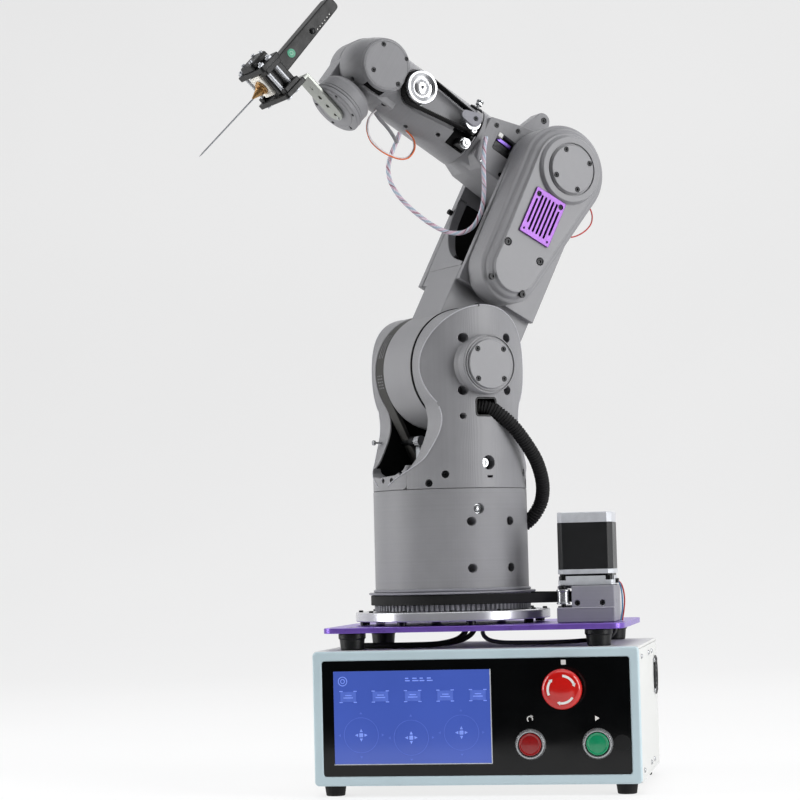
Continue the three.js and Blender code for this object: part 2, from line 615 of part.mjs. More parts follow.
function buildTool() {
  const front = FLANGE.front + GAP;
  const tongue = stadium(0, 0, 12, 60, 0, 12);
  const tongueSolid = new THREE.ExtrudeGeometry(tongue, { depth: 3, bevelEnabled: false, curveSegments: 20 });
  // the outline's X becomes the radial direction Z, and its depth runs along X
  tongueSolid.applyMatrix4(new THREE.Matrix4().makeBasis(
    new THREE.Vector3(0, 0, 1), new THREE.Vector3(0, -1, 0), new THREE.Vector3(1, 0, 0),
  )).translate(front, 0, 0);
  const toolPlate = join(
    cut(tongueSolid, box(front - 1, front + 4, -20, 20, 49.5, 80)),
    box(front, 100, -12, 12, 46.5, 49.5),
  );
  place(wristFrame, "tool_plate", toolPlate, paleGrey);

  const posts = [];
  for (const n of [-24, 28]) posts.push(rodZ(94, n, 54, 94, 2.4, 2.4, 16));
  for (const n of [-24, 28]) posts.push(rodZ(106, n, 54, 94, 2.4, 2.4, 16));
  const clamp = join(
    box(82, 112, -36, 40, 49.8, 55),
    box(82, 112, -32, 36, 93, 98.5),
    ...posts,
  );
  place(wristFrame, "tool_clamp", clamp, blackPlastic);

  // the handle narrows a little and leans outwards towards its free end
  const handle = polygon([
    [92, TOOL_AXIS - 6.5], [92, TOOL_AXIS + 11.5], [-16, TOOL_AXIS + 16.1], [-16, TOOL_AXIS + 1.1],
  ]);
  place(wristFrame, "tool_handle", slab(handle, -9, 9), blackPlastic);
  place(wristFrame, "heater_block", box(92.3, 110, -10, 12, TOOL_AXIS - 12, TOOL_AXIS + 14), whiteCeramic);
  const tip = join(
    rodX(0, TOOL_AXIS, 110.3, 118, 6, 6, 28),
    rodX(0, TOOL_AXIS, 117.5, 124, 5, 2, 28),
    rodX(0, TOOL_AXIS - 0.5, 123, 214, 0.8, 0.6, 12),
  );
  place(wristFrame, "nozzle_and_needle", tip, brass);
}

buildFeet();
buildShell();
buildFront();
buildEmergencyStop();
buildPushButton("reset", RESET, darkRed);
buildPushButton("start", START, greenGloss);
buildElectronics();
buildPlate();
buildRing();
buildWaistDrive();
buildWaistBelt();
buildBaseCable();
buildTurret();
buildCheeks();
buildShoulderDrive();
buildHose();
buildUpperArm();
buildElbowCover();
buildElbowMotor();
buildElbow();
buildForearm();
buildWristBelt();
buildHarness();
buildWrist();
buildTool();

// the origin is the middle of the footprint, measured without the loose cables
function centre() {
  robot.updateMatrixWorld(true);
  const extent = new THREE.Box3();
  robot.traverse((item) => {
    if (item.isMesh && !CORDS.includes(item.name)) extent.expandByObject(item);
  });
  robot.position.x = -(extent.min.x + extent.max.x) / 2;
  robot.position.y = -(extent.min.y + extent.max.y) / 2;
  robot.position.z = -extent.min.z;
}
centre();

export default robot;
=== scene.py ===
import math

import bmesh
import bpy
from mathutils import Matrix, Vector


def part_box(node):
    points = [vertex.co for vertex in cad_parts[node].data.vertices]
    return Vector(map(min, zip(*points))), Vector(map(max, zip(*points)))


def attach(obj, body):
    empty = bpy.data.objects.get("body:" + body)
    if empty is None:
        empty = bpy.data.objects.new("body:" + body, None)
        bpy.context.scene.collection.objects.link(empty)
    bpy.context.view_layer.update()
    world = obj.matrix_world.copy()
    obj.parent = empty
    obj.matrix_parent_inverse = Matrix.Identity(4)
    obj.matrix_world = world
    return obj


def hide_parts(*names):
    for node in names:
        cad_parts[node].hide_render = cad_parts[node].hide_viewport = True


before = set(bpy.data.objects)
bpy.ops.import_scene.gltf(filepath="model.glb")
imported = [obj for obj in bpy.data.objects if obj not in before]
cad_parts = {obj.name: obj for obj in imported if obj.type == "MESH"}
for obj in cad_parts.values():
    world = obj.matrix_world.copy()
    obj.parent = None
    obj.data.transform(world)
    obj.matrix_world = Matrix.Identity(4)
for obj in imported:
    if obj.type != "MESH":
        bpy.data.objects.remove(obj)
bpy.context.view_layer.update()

# ---- frames: millimetres in the frames of part.mjs, turned into row-frame metres ----
MM = 0.001
ring_low, ring_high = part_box("bearing_ring")
waist = (ring_low + ring_high) / 2
SHOULDER = 436.0
UPPER_ARM = 234.0
FOREARM = 218.7
LEAN, RISE, DROP, HEADING = 27.2, 30.2, 46.0, 218.5


def pitched(base, u, z, degrees):
    """A frame in the plane of the arm, turned about the axis across it."""
    turn = Matrix.Rotation(math.radians(degrees), 4, "Y")
    return base @ Matrix.Translation((u, 0, z)) @ turn


elbow_u = -UPPER_ARM * math.sin(math.radians(LEAN))
elbow_z = SHOULDER + UPPER_ARM * math.cos(math.radians(LEAN))
wrist_u = elbow_u + FOREARM * math.cos(math.radians(RISE))
wrist_z = elbow_z + FOREARM * math.sin(math.radians(RISE))
WORLD = Matrix.Translation((waist.x, waist.y, 0)) @ Matrix.Scale(MM, 4)
ARM = WORLD @ Matrix.Rotation(math.radians(HEADING), 4, "Z")
UPPER = pitched(ARM, 0, SHOULDER, -LEAN)
FORE = pitched(ARM, elbow_u, elbow_z, -RISE)
WRIST = pitched(ARM, wrist_u, wrist_z, DROP)


# ---- camera -------------------------------------------------------------------------
def build_camera():
    """The camera stands in front, a little to the right, and looks slightly up."""
    data = bpy.data.cameras.new("camera")
    data.lens = 108
    data.sensor_width = 36
    data.clip_end = 50
    camera = bpy.data.objects.new("camera", data)
    bpy.context.scene.collection.objects.link(camera)
    azimuth, up, roll = (math.radians(a) for a in (10.0, 3.86, 1.4))
    level = Vector((-math.sin(azimuth), math.cos(azimuth), 0))
    right = Vector((math.cos(azimuth), math.sin(azimuth), 0))
    ahead = level * math.cos(up) + Vector((0, 0, math.sin(up)))
    above = Vector((0, 0, math.cos(up))) - level * math.sin(up)
    x = right * math.cos(roll) - above * math.sin(roll)
    y = right * math.sin(roll) + above * math.cos(roll)
    turn = Matrix((x, y, -ahead)).transposed().to_4x4()
    camera.matrix_world = Matrix.Translation((0.4035, -2.4920, 0.2349)) @ turn
    bpy.context.scene.camera = camera


build_camera()


# ---- shells: (points, faces) in millimetres ------------------------------------------
def arc(cx, cy, r, start, end, n):
    turns = [math.radians(start + (end - start) * i / n) for i in range(n + 1)]
    return [(cx + r * math.cos(t), cy + r * math.sin(t)) for t in turns]


def round_rect(x0, x1, y0, y1, r, n=6):
    return (arc(x1 - r, y1 - r, r, 0, 90, n) + arc(x0 + r, y1 - r, r, 90, 180, n)
            + arc(x0 + r, y0 + r, r, 180, 270, n) + arc(x1 - r, y0 + r, r, 270, 360, n))


def stadium(ax, ay, ar, bx, by, br, n=40):
    """Two circles joined by their outer tangents."""
    heading = math.degrees(math.atan2(by - ay, bx - ax))
    spread = math.degrees(math.acos((ar - br) / math.hypot(bx - ax, by - ay)))
    first = arc(ax, ay, ar, heading + spread, heading - spread + 360, n)
    return first + arc(bx, by, br, heading - spread, heading + spread, n)


def bezier(a, b, c, d, n=14):
    points = []
    for i in range(1, n + 1):
        t = i / n
        s = 1 - t
        w = (s ** 3, 3 * s * s * t, 3 * s * t * t, t ** 3)
        points.append(tuple(sum(k * p[j] for k, p in zip(w, (a, b, c, d))) for j in (0, 1)))
    return points


def fillet(corners, r, n=5):
    """A polygon with every corner rounded."""
    out = []
    for i, corner in enumerate(corners):
        b = Vector(corner)
        a, c = Vector(corners[i - 1]), Vector(corners[(i + 1) % len(corners)])
        u, v = (a - b).normalized(), (c - b).normalized()
        half = math.acos(max(-1, min(1, u.dot(v)))) / 2
        run = min(r / math.tan(half), (a - b).length * 0.45, (c - b).length * 0.45)
        p, q = b + u * run, b + v * run
        for k in range(n + 1):
            t = k / n
            out.append(tuple(p * (1 - t) ** 2 + b * 2 * t * (1 - t) + q * t * t))
    return out


def inset(points, d):
    """The outline moved inwards by d."""
    if abs(d) < 1e-9:
        return list(points)
    n = len(points)
    area = sum(points[i - 1][0] * points[i][1] - points[i][0] * points[i - 1][1] for i in range(n))
    turn = 1 if area > 0 else -1
    out = []
    for i in range(n):
        a, b, c = (Vector(points[k % n]) for k in (i - 1, i, i + 1))
        u, v = (b - a).normalized(), (c - b).normalized()
        m = Vector((-(u.y + v.y), u.x + v.x)) * turn
        out.append(tuple(b + m * (d / max(m.length_squared / 2, 0.3))))
    return out


def rings_shell(rings, closed=False):
    """Faces between rings of equally many points; the ends are capped unless closed."""
    n = len(rings[0])
    points = [p for ring in rings for p in ring]
    spans = len(rings) if closed else len(rings) - 1
    faces = []
    for i in range(spans):
        j = (i + 1) % len(rings)
        faces += [(i * n + k, i * n + (k + 1) % n, j * n + (k + 1) % n, j * n + k) for k in range(n)]
    if not closed:
        faces += [tuple(reversed(range(n))), tuple(range((len(rings) - 1) * n, len(rings) * n))]
    return points, faces


PUT = {
    "x": lambda a, b, h: (h, a, b),
    "y": lambda a, b, h: (a, h, b),
    "z": lambda a, b, h: (a, b, h),
}


def soft(h0, h1, r=0.8, top=None, steps=3):
    """Levels of a slab whose two rims are rounded by r (and top)."""
    def quarter(q):
        turns = [math.pi / 2 * i / steps for i in range(steps + 1)]
        return [(q * (1 - math.sin(t)), q * (1 - math.cos(t))) for t in turns]

    top = r if top is None else top
    low = [(d, h0 + e) for d, e in quarter(r)] if r else [(0, h0)]
    high = [(d, h1 - e) for d, e in reversed(quarter(top))] if top else [(0, h1)]
    return low + high


def puck(outline, levels, axis="y"):
    """An outline given thickness along an axis, with (inset, height) levels."""
    return rings_shell([[PUT[axis](*p, h) for p in inset(outline, d)] for d, h in levels])


def turned(profile, axis="y", centre=(0, 0), n=64, closed=False):
    """A body of revolution; an entry is (radius, height) or (radius, height, sides of a polygon)."""
    rings = []
    for r, h, *sides in profile:
        ring = []
        for k in range(n):
            t = 2 * math.pi * k / n
            reach = r
            if sides:
                wedge = 2 * math.pi / sides[0]
                reach = r * math.cos(wedge / 2) / math.cos(t % wedge - wedge / 2)
            a, b = centre[0] + reach * math.cos(t), centre[1] + reach * math.sin(t)
            ring.append(PUT[axis](a, b, h))
        rings.append(ring)
    return rings_shell(rings, closed)


def rod(axis, centre, h0, h1, r, r1=None, rim=0.5, n=64):
    """A round bar with softened rims; the second radius is for a cone."""
    r1 = r if r1 is None else r1
    a = rim * 0.3
    low = [(r - rim, h0), (r - a, h0 + a), (r, h0 + rim)]
    high = [(r1, h1 - rim), (r1 - a, h1 - a), (r1 - rim, h1)]
    return turned(low + high, axis, centre, n)


def torus(axis, centre, h, major, minor, n=64, m=10):
    turns = [2 * math.pi * i / m for i in range(m)]
    profile = [(major + minor * math.cos(t), h + minor * math.sin(t)) for t in turns]
    return turned(profile, axis, centre, n, closed=True)


def block(x0, x1, y0, y1, z0, z1, r=0.8, corner=None):
    corner = max(r, 0.05) if corner is None else corner
    return puck(round_rect(x0, x1, y0, y1, corner, 4), soft(z0, z1, r), "z")


def moved(shell, matrix):
    return [tuple(matrix @ Vector(p)) for p in shell[0]], shell[1]


def merged(*shells):
    points, faces = [], []
    for more, rims in shells:
        start = len(points)
        points += list(more)
        faces += [tuple(i + start for i in face) for face in rims]
    return points, faces


def toward(origin, direction):
    """A frame at origin whose Z runs along direction."""
    turn = Vector(direction).to_track_quat("Z", "Y").to_matrix().to_4x4()
    return Matrix.Translation(origin) @ turn


def smooth_route(points, count):
    """Evenly spaced points on a centripetal spline through a route."""
    p = [Vector(q) for q in points]
    p = [p[0] * 2 - p[1]] + p + [p[-1] * 2 - p[-2]]
    fine = []
    for i in range(1, len(p) - 2):
        a, b, c, d = p[i - 1:i + 3]
        for k in range(24):
            t = k / 24
            fine.append(0.5 * (b * 2 + (c - a) * t + (a * 2 - b * 5 + c * 4 - d) * t * t
                               + (b * 3 - a - c * 3 + d) * t ** 3))
    fine.append(p[-2])
    run = [0.0]
    for a, b in zip(fine, fine[1:]):
        run.append(run[-1] + (b - a).length)
    out, j = [], 0
    for i in range(count):
        want = run[-1] * i / (count - 1)
        while j < len(run) - 2 and run[j + 1] < want:
            j += 1
        t = (want - run[j]) / max(run[j + 1] - run[j], 1e-9)
        out.append(fine[j].lerp(fine[j + 1], min(1, t)))
    return out


def swept(points, radii, sides=16):
    """A tube along points; radii is a number or one number a point."""
    rings = []
    side = None
    for i, p in enumerate(points):
        ahead = (points[min(i + 1, len(points) - 1)] - points[max(i - 1, 0)]).normalized()
        if side is None:
            side = ahead.orthogonal().normalized()
        side = (side - ahead * side.dot(ahead)).normalized()
        other = ahead.cross(side)
        r = radii if isinstance(radii, (int, float)) else radii[i]
        ring = []
        for k in range(sides):
            t = 2 * math.pi * k / sides
            ring.append(tuple(p + (side * math.cos(t) + other * math.sin(t)) * r))
        rings.append(ring)
    return rings_shell(rings)


# ---- from shells to pieces -----------------------------------------------------------
def raw_mesh(name, shell):
    mesh = bpy.data.meshes.new(name)
    mesh.from_pydata([tuple(p) for p in shell[0]], [], shell[1])
    work = bmesh.new()
    work.from_mesh(mesh)
    bmesh.ops.recalc_face_normals(work, faces=work.faces)
    work.to_mesh(mesh)
    work.free()
    return mesh


def boolean(first, steps):
    """The first shell after each (shell, operation) step, as one clean shell."""
    made = []

    def raw_object(shell):
        made.append(bpy.data.objects.new("raw", raw_mesh("raw", shell)))
        bpy.context.scene.collection.objects.link(made[-1])
        return made[-1]

    base = raw_object(first)
    for shell, operation in steps:
        step = base.modifiers.new("step", "BOOLEAN")
        step.operation = operation
        step.solver = "MANIFOLD"
        step.object = raw_object(shell)
    ready = base.evaluated_get(bpy.context.evaluated_depsgraph_get())
    mesh = bpy.data.meshes.new_from_object(ready)
    result = [tuple(v.co) for v in mesh.vertices], [tuple(f.vertices) for f in mesh.polygons]
    for item in made:
        bpy.data.objects.remove(item)
    bpy.data.meshes.remove(mesh)
    if not result[0]:
        raise ValueError("a boolean left nothing")
    return result


def carve(adds, cuts=()):
    """The sum of the first shells less the second ones."""
    return boolean(adds[0], [(s, "UNION") for s in adds[1:]] + [(s, "DIFFERENCE") for s in cuts])


def clipped(shell, keep):
    """The part of a shell that lies inside another."""
    return boolean(shell, [(keep, "INTERSECT")])


SHARP = math.radians(34)


def piece(name, shell, place, body, material, replaces=()):
    """One Blender piece from a shell in a local frame, riding on a body."""
    mesh = raw_mesh(name, moved(shell, place))
    work = bmesh.new()
    work.from_mesh(mesh)
    for face in work.faces:
        face.smooth = True
    for edge in work.edges:
        edge.smooth = len(edge.link_faces) == 2 and edge.calc_face_angle(0) < SHARP
    work.to_mesh(mesh)
    work.free()
    mesh.materials.append(material)
    obj = bpy.data.objects.new(name, mesh)
    bpy.context.scene.collection.objects.link(obj)
    normals = obj.modifiers.new("normals", "WEIGHTED_NORMAL")
    normals.keep_sharp = True
    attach(obj, body)
    if replaces:
        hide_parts(*replaces)
    return obj


# ---- materials ----------------------------------------------------------------------
def linear(code):
    """A colour written as six hex digits, as linear light."""
    parts = [int(code[i:i + 2], 16) / 255 for i in (0, 2, 4)]
    return [c / 12.92 if c <= 0.04045 else ((c + 0.055) / 1.055) ** 2.4 for c in parts]


class Graph:
    """A material under construction."""

    def __init__(self, name):
        self.material = bpy.data.materials.new(name)
        self.material.use_nodes = True
        self.tree = self.material.node_tree
        self.shader = self.tree.nodes["Principled BSDF"]
        self.place = self.add("ShaderNodeTexCoord").outputs["Object"]

    def add(self, kind, links=(), **settings):
        node = self.tree.nodes.new(kind)
        for key, value in settings.items():
            setattr(node, key, value)
        for key, value in dict(links).items():
            if isinstance(value, bpy.types.NodeSocket):
                self.tree.links.new(value, node.inputs[key])
            else:
                node.inputs[key].default_value = value
        return node

    def math(self, operation, a, b=0.0):
        return self.add("ShaderNodeMath", {0: a, 1: b}, operation=operation).outputs[0]

    def noise(self, scale, detail=3.0, where=None):
        node = self.add("ShaderNodeTexNoise", {"Vector": where or self.place, "Scale": scale,
                                               "Detail": detail})
        return node.outputs["Fac"]

    def stretched(self, scale):
        return self.add("ShaderNodeMapping", {"Vector": self.place, "Scale": scale}).outputs[0]

    def spread(self, value, low, high, start=0.3, end=0.7):
        links = {"Value": value, "From Min": start, "From Max": end, "To Min": low, "To Max": high}
        return self.add("ShaderNodeMapRange", links).outputs["Result"]

    def blend(self, amount, a, b):
        node = self.add("ShaderNodeMix", data_type="RGBA")
        for socket, value in ((0, amount), (6, a), (7, b)):
            if isinstance(value, bpy.types.NodeSocket):
                self.tree.links.new(value, node.inputs[socket])
            else:
                node.inputs[socket].default_value = value
        return node.outputs[2]

    def along(self, direction):
        """Distance in metres along a direction of the row frame."""
        node = self.add("ShaderNodeVectorMath", {0: self.place, 1: direction}, operation="DOT_PRODUCT")
        return node.outputs["Value"]

    def waves(self, value, period):
        return self.math("SINE", self.math("MULTIPLY", value, 2 * math.pi / period))

    def bump(self, height, depth, strength=1.0, normal=None):
        links = {"Height": height, "Distance": depth, "Strength": strength}
        if normal is not None:
            links["Normal"] = normal
        return self.add("ShaderNodeBump", links).outputs["Normal"]

    def wire(self, socket, value):
        self.tree.links.new(value, self.shader.inputs[socket])


def tone(colour, factor):
    return [min(1.0, c * factor) for c in colour] + [1.0]


def finish(name, code, rough, metal=0.0, vary=0.12, patch=45, grain=0.00005, fine=1500, swing=0.08,
           coat=0.0, specular=0.5, streaks=None, rings=None, layers=None, edges=0.0, lift=1.35, glow=0.0):
    """A procedural finish: patchy colour, uneven roughness, fine bump, and what the words say.

    streaks stretches the grain for a brushed look, rings = (centre, axis, pitch) is for turned
    faces, layers = (direction, pitch, depth) for printed plastic, and edges rounds the edges
    over that radius and lightens them by lift as a painted highlight.
    """
    g = Graph(name)
    base = linear(code)
    where = g.stretched(streaks) if streaks else g.place
    mottle = g.noise(patch, 4.0)
    speck = g.noise(fine if not streaks else 1.0, 2.0, where)
    colour = g.blend(g.spread(mottle, 0, 1), tone(base, 1 - vary), tone(base, 1 + vary * 0.6))
    colour = g.blend(g.spread(speck, 0, 0.35), colour, tone(base, 1 - vary * 1.5))
    uneven = g.math("ADD", g.math("MULTIPLY", mottle, 0.6), g.math("MULTIPLY", speck, 0.4))
    normal = None
    if edges:
        normal = g.add("ShaderNodeBevel", {"Radius": edges}, samples=4).outputs["Normal"]
        flat = g.add("ShaderNodeNewGeometry").outputs["True Normal"]
        turn = g.add("ShaderNodeVectorMath", {0: normal, 1: flat}, operation="DOT_PRODUCT").outputs["Value"]
        # painted highlight: the colour is lightened by lift along the edges, in patches
        edge_highlight = g.math("MULTIPLY", g.spread(turn, 1, 0, 0.8, 0.99), g.spread(g.noise(260), 0.25, 0.8))
        colour = g.blend(edge_highlight, colour, tone(base, lift))
    if layers:
        direction, pitch, depth = layers
        height = g.along(direction)
        wander = g.math("MULTIPLY", g.noise(30), pitch * 1.3)
        lines = g.waves(g.math("ADD", height, wander), pitch)
        bands = g.add("ShaderNodeTexNoise", {"W": height, "Scale": 420, "Detail": 2}, noise_dimensions="1D")
        colour = g.blend(g.spread(bands.outputs["Fac"], 0, 0.16), colour, tone(base, 0.72))
        side = Vector(direction).orthogonal().normalized()
        raster = g.waves(g.along(side + Vector(direction).cross(side)), pitch * 1.9)
        lines = g.math("ADD", g.math("MULTIPLY", lines, 0.5), g.math("MULTIPLY", raster, 0.18))
        normal = g.bump(lines, depth, 1.0, normal)
    if rings:
        centre, axis, pitch = rings
        offset = g.add("ShaderNodeVectorMath", {0: g.place, 1: centre}, operation="SUBTRACT").outputs[0]
        arm = g.add("ShaderNodeVectorMath", {0: offset, 1: axis}, operation="CROSS_PRODUCT").outputs[0]
        reach = g.add("ShaderNodeVectorMath", {0: arm}, operation="LENGTH").outputs["Value"]
        marks = g.add("ShaderNodeTexNoise", {"W": reach, "Scale": 1 / pitch, "Detail": 3},
                      noise_dimensions="1D")
        normal = g.bump(marks.outputs["Fac"], 0.00004, 1.0, normal)
        uneven = marks.outputs["Fac"]
    if grain:
        normal = g.bump(speck, grain, 1.0, normal)
    g.wire("Base Color", colour)
    g.wire("Roughness", g.spread(uneven, max(0.02, rough - swing), min(1, rough + swing)))
    if normal is not None:
        g.wire("Normal", normal)
    g.shader.inputs["Metallic"].default_value = metal
    g.shader.inputs["Specular IOR Level"].default_value = specular
    g.shader.inputs["Coat Weight"].default_value = coat
    g.shader.inputs["Coat Roughness"].default_value = 0.08
    if glow:
        g.wire("Emission Color", colour)
        g.shader.inputs["Emission Strength"].default_value = glow
    return g.material


def axis_of(place, vector):
    return (place.to_3x3() @ Vector(vector)).normalized()


ACROSS = axis_of(ARM, (0, 1, 0))
ALONG_FORE = axis_of(FORE, (1, 0, 0))
ALONG_WRIST = axis_of(WRIST, (1, 0, 0))
UP = Vector((0, 0, 1))


def printed(name, direction, code="8b8b8e"):
    return finish(name, code, 0.46, vary=0.07, patch=35, grain=0.00003, fine=2400, swing=0.07,
                  layers=(direction, 0.0005, 0.00006), edges=0.0009, lift=1.5)


print_up = printed("grey_print_upright", UP)
print_across = printed("grey_print_across", ACROSS)
print_fore = printed("grey_print_forearm", ALONG_FORE)
print_wrist = printed("grey_print_wrist", ALONG_WRIST)
print_dark = printed("grey_print_dark", UP, "8a8a92")
# print_pale serves the painted highlight bead on the cheek edges, and the bracket ledge
print_pale = printed("grey_print_pale", UP, "b4b4ba")
black_plastic = finish("black_plastic", "0d0e0f", 0.42, specular=0.35, vary=0.25, patch=90, grain=0.00005,
                       edges=0.0005, lift=3.0)
black_rubber = finish("black_rubber", "151516", 0.72, vary=0.3, patch=120, grain=0.0001, fine=900,
                      specular=0.3)
black_screw = finish("blackened_steel", "17181a", 0.34, metal=0.5, vary=0.3, patch=300, edges=0.0002,
                     lift=2.5)
# painted shade: a near-black finish for sheets and rings put in gaps, pockets and cavities where shade falls
painted_shade = finish("painted_shade_black", "050506", 0.8, vary=0.3, patch=100, specular=0.2)
black_gloss = finish("black_acrylic", "040506", 0.1, vary=0.3, patch=25, grain=0, swing=0.05, specular=0.35)
white_sheet = finish("white_powder_coat", "d2d3d1", 0.5, vary=0.03, patch=25, grain=0.00012, fine=700,
                     edges=0.0008, lift=1.05)
bezel_blue = finish("bezel_blue", "bccfd6", 0.38, vary=0.05, patch=20, grain=0.00003, fine=1200, edges=0.001,
                    lift=1.2)
brushed = finish("brushed_aluminium", "c4c6c9", 0.32, metal=0.65, vary=0.08, patch=60, grain=0.00003,
                 streaks=(60, 60, 2500), swing=0.1, edges=0.0005, lift=1.1)
steel = finish("steel", "b4b6b8", 0.26, metal=0.75, vary=0.15, patch=200, grain=0.00002, edges=0.0002,
               lift=1.1)
purple = finish("purple_anodised", "7d5cc0", 0.3, metal=0.45, vary=0.12, patch=60, grain=0.00003,
                streaks=(30, 1800, 1800), swing=0.08, edges=0.0007, lift=1.8)
purple_grille = finish("purple_grille", "734a8c", 0.34, metal=0.6, vary=0.08, patch=200, grain=0.00003,
                       edges=0.0005, lift=1.3)
red_gloss = finish("red_gloss", "c41712", 0.2, vary=0.08, patch=60, grain=0.00002, coat=0.5, edges=0.0006,
                   lift=1.3)
dark_red = finish("dark_red_cap", "8e0a0e", 0.22, vary=0.12, patch=90, grain=0.00002, coat=0.4)
green_gloss = finish("green_cap", "0b8a5c", 0.22, vary=0.1, patch=90, grain=0.00002, coat=0.4)
white_print = finish("white_print", "e9e9e6", 0.5, vary=0.06, patch=300)
pale_grey = finish("pale_grey_plate", "a6a9a3", 0.36, metal=0.35, vary=0.06, patch=90,
                   streaks=(1500, 1500, 60), edges=0.0005, lift=1.2)
ceramic = finish("white_ceramic", "efece4", 0.6, vary=0.1, patch=150, grain=0.0001, fine=1600, edges=0.0006,
                 lift=1.1)
circuit = finish("circuit_green", "1b6a3b", 0.4, vary=0.2, patch=300, fine=500, coat=0.3)
warm_metal = finish("old_brass", "b8905c", 0.36, metal=0.6, vary=0.2, patch=180, edges=0.0003, lift=1.2)
silver_cap = finish("cast_silver", "cacdd2", 0.38, metal=0.25, vary=0.1, patch=120, fine=1100, edges=0.0005,
                    lift=1.2)
laminated = finish("motor_stack", "0d0e10", 0.36, vary=0.2, patch=60, layers=(UP, 0.0006, 0.00005),
                   edges=0.0004, lift=2.5)
laminated_across = finish("motor_stack_across", "0d0e10", 0.36, vary=0.2, patch=60,
                          layers=(ACROSS, 0.0006, 0.00005), edges=0.0004, lift=2.5)
ring_turned = finish("turned_ring", "cfd0d3", 0.28, metal=0.6, vary=0.04, swing=0.1, grain=0,
                     rings=((waist.x, waist.y, 0), UP, 0.0006), edges=0.0007, lift=1.1)
WRIST_WHEEL = (174.5, -3)  # middle of the wrist pulley in the frame of the forearm
pulley_centre = FORE @ Vector((WRIST_WHEEL[0], 0, WRIST_WHEEL[1]))
pulley_turned = finish("turned_pulley", "c6c7ca", 0.26, metal=0.85, vary=0.04, swing=0.1, grain=0,
                       rings=(tuple(pulley_centre), ACROSS, 0.0005), edges=0.0004, lift=1.1)
screen_blue = finish("screen_blue", "3a4f9e", 0.12, vary=0.08, patch=9, grain=0, fine=2600, swing=0.03,
                     coat=0.3, glow=0.55)
screen_mark = finish("screen_mark", "7289d6", 0.2, vary=0.15, patch=200, grain=0, glow=0.6)
screen_faint = finish("screen_faint_mark", "4a60b0", 0.2, vary=0.1, patch=200, grain=0, glow=0.55)


def wire_finish(name, code):
    return finish(name, code, 0.36, vary=0.12, patch=260, grain=0.00003, fine=1800)


wire_red = wire_finish("wire_red", "b5201c")
wire_black = wire_finish("wire_black", "141416")
wire_blue = wire_finish("wire_blue", "4c7ea6")
wire_orange = wire_finish("wire_orange", "e06a2c")
wire_white = wire_finish("wire_white", "ddd9dc")


def braid_finish():
    """A sleeve woven of pale blue, pink and white strands with a thin dark red tracer."""
    g = Graph("harness_braid")
    parts = g.add("ShaderNodeSeparateXYZ", {0: g.add("ShaderNodeUVMap", uv_map="sleeve").outputs["UV"]})
    run, around = parts.outputs[0], parts.outputs[1]

    def strand(pitch, turns, operation="ADD"):
        return g.math("SINE", g.math(operation, g.math("MULTIPLY", run, 2 * math.pi / pitch),
                                     g.math("MULTIPLY", around, 2 * math.pi * turns)))

    left, right = strand(0.007, 4), strand(0.007, 4, "SUBTRACT")
    stripe = strand(0.011, 2)
    colour = g.blend(g.spread(stripe, 0, 1, -0.3, 0.3), linear("a9bacb") + [1], linear("cbaabc") + [1])
    colour = g.blend(g.spread(left, 0, 0.75, -0.1, 0.9), colour, linear("d6d6dd") + [1])
    colour = g.blend(g.spread(strand(0.019, 1), 0, 0.8, 0.95, 0.99), colour, linear("7c1a2c") + [1])
    g.wire("Base Color", colour)
    g.wire("Normal", g.bump(g.math("MULTIPLY", left, right), 0.0002))
    g.wire("Roughness", g.spread(g.noise(700), 0.45, 0.65))
    return g.material


braid = braid_finish()
needle_steel = finish("needle_steel", "6c6e72", 0.35, metal=0.9, vary=0.2, patch=200, edges=0.0002, lift=1.1)
sleeve_grey = finish("grey_sleeve", "86868a", 0.6, vary=0.3, patch=500, grain=0.0001, fine=2600)
sticker_green = finish("green_sticker", "3d9a78", 0.45, vary=0.08, patch=200, grain=0.00002)
belt_grey = finish("belt_grey", "3a3937", 0.6, vary=0.2, patch=90, grain=0.00008, fine=1200, specular=0.3)
sticker_pale = finish("sticker_mark", "9fc9b6", 0.5, vary=0.06, patch=300)


# ---- stage ----------------------------------------------------------------------------
def build_stage():
    """A seamless pale sweep: floor in front, wall behind."""
    paper = finish("paper", "8c8c8c", 0.9, vary=0.01, patch=2, grain=0, specular=0.05, glow=2.6)
    profile = [(-0.75, 0.0), (2.2, 0.0)]
    profile += [(2.2 + 1.4 * math.sin(math.radians(a)), 1.4 - 1.4 * math.cos(math.radians(a)))
                for a in range(6, 91, 6)]
    profile += [(3.6, 5.0)]
    points = [(x, y, z) for x in (-6.0, 6.0) for y, z in profile]
    n = len(profile)
    faces = [(i, i + 1, n + i + 1, n + i) for i in range(n - 1)]
    mesh = bpy.data.meshes.new("sweep")
    mesh.from_pydata(points, [], faces)
    for face in mesh.polygons:
        face.use_smooth = True
    mesh.materials.append(paper)
    sweep = bpy.data.objects.new("sweep", mesh)
    bpy.context.scene.collection.objects.link(sweep)


# name, place in metres, size, power in watts
SOFT_BOXES = [
    ("right_box", (1.9, -0.85, 0.85), (0.8, 1.9), 38),
    ("left_box", (-1.9, -0.45, 0.8), (0.8, 1.8), 30),
    ("top_box", (0.1, -0.9, 2.5), (2.0, 1.6), 14),
    ("back_box", (0.5, 1.9, 1.9), (2.4, 1.2), 12),
]


def build_lights():
    """A strong soft box to the right, a weaker one to the left, and two high ones."""
    middle = Vector((0, 0, 0.42))
    for name, spot, size, power in SOFT_BOXES:
        data = bpy.data.lights.new(name, "AREA")
        data.shape = "RECTANGLE"
        data.size, data.size_y = size
        data.energy = power
        lamp = bpy.data.objects.new(name, data)
        bpy.context.scene.collection.objects.link(lamp)
        aim = (middle - Vector(spot)).to_track_quat("-Z", "Y").to_matrix().to_4x4()
        lamp.matrix_world = Matrix.Translation(spot) @ aim
    build_surround()
    bpy.context.scene.view_settings.view_transform = "Standard"
    bpy.context.scene.view_settings.look = "None"


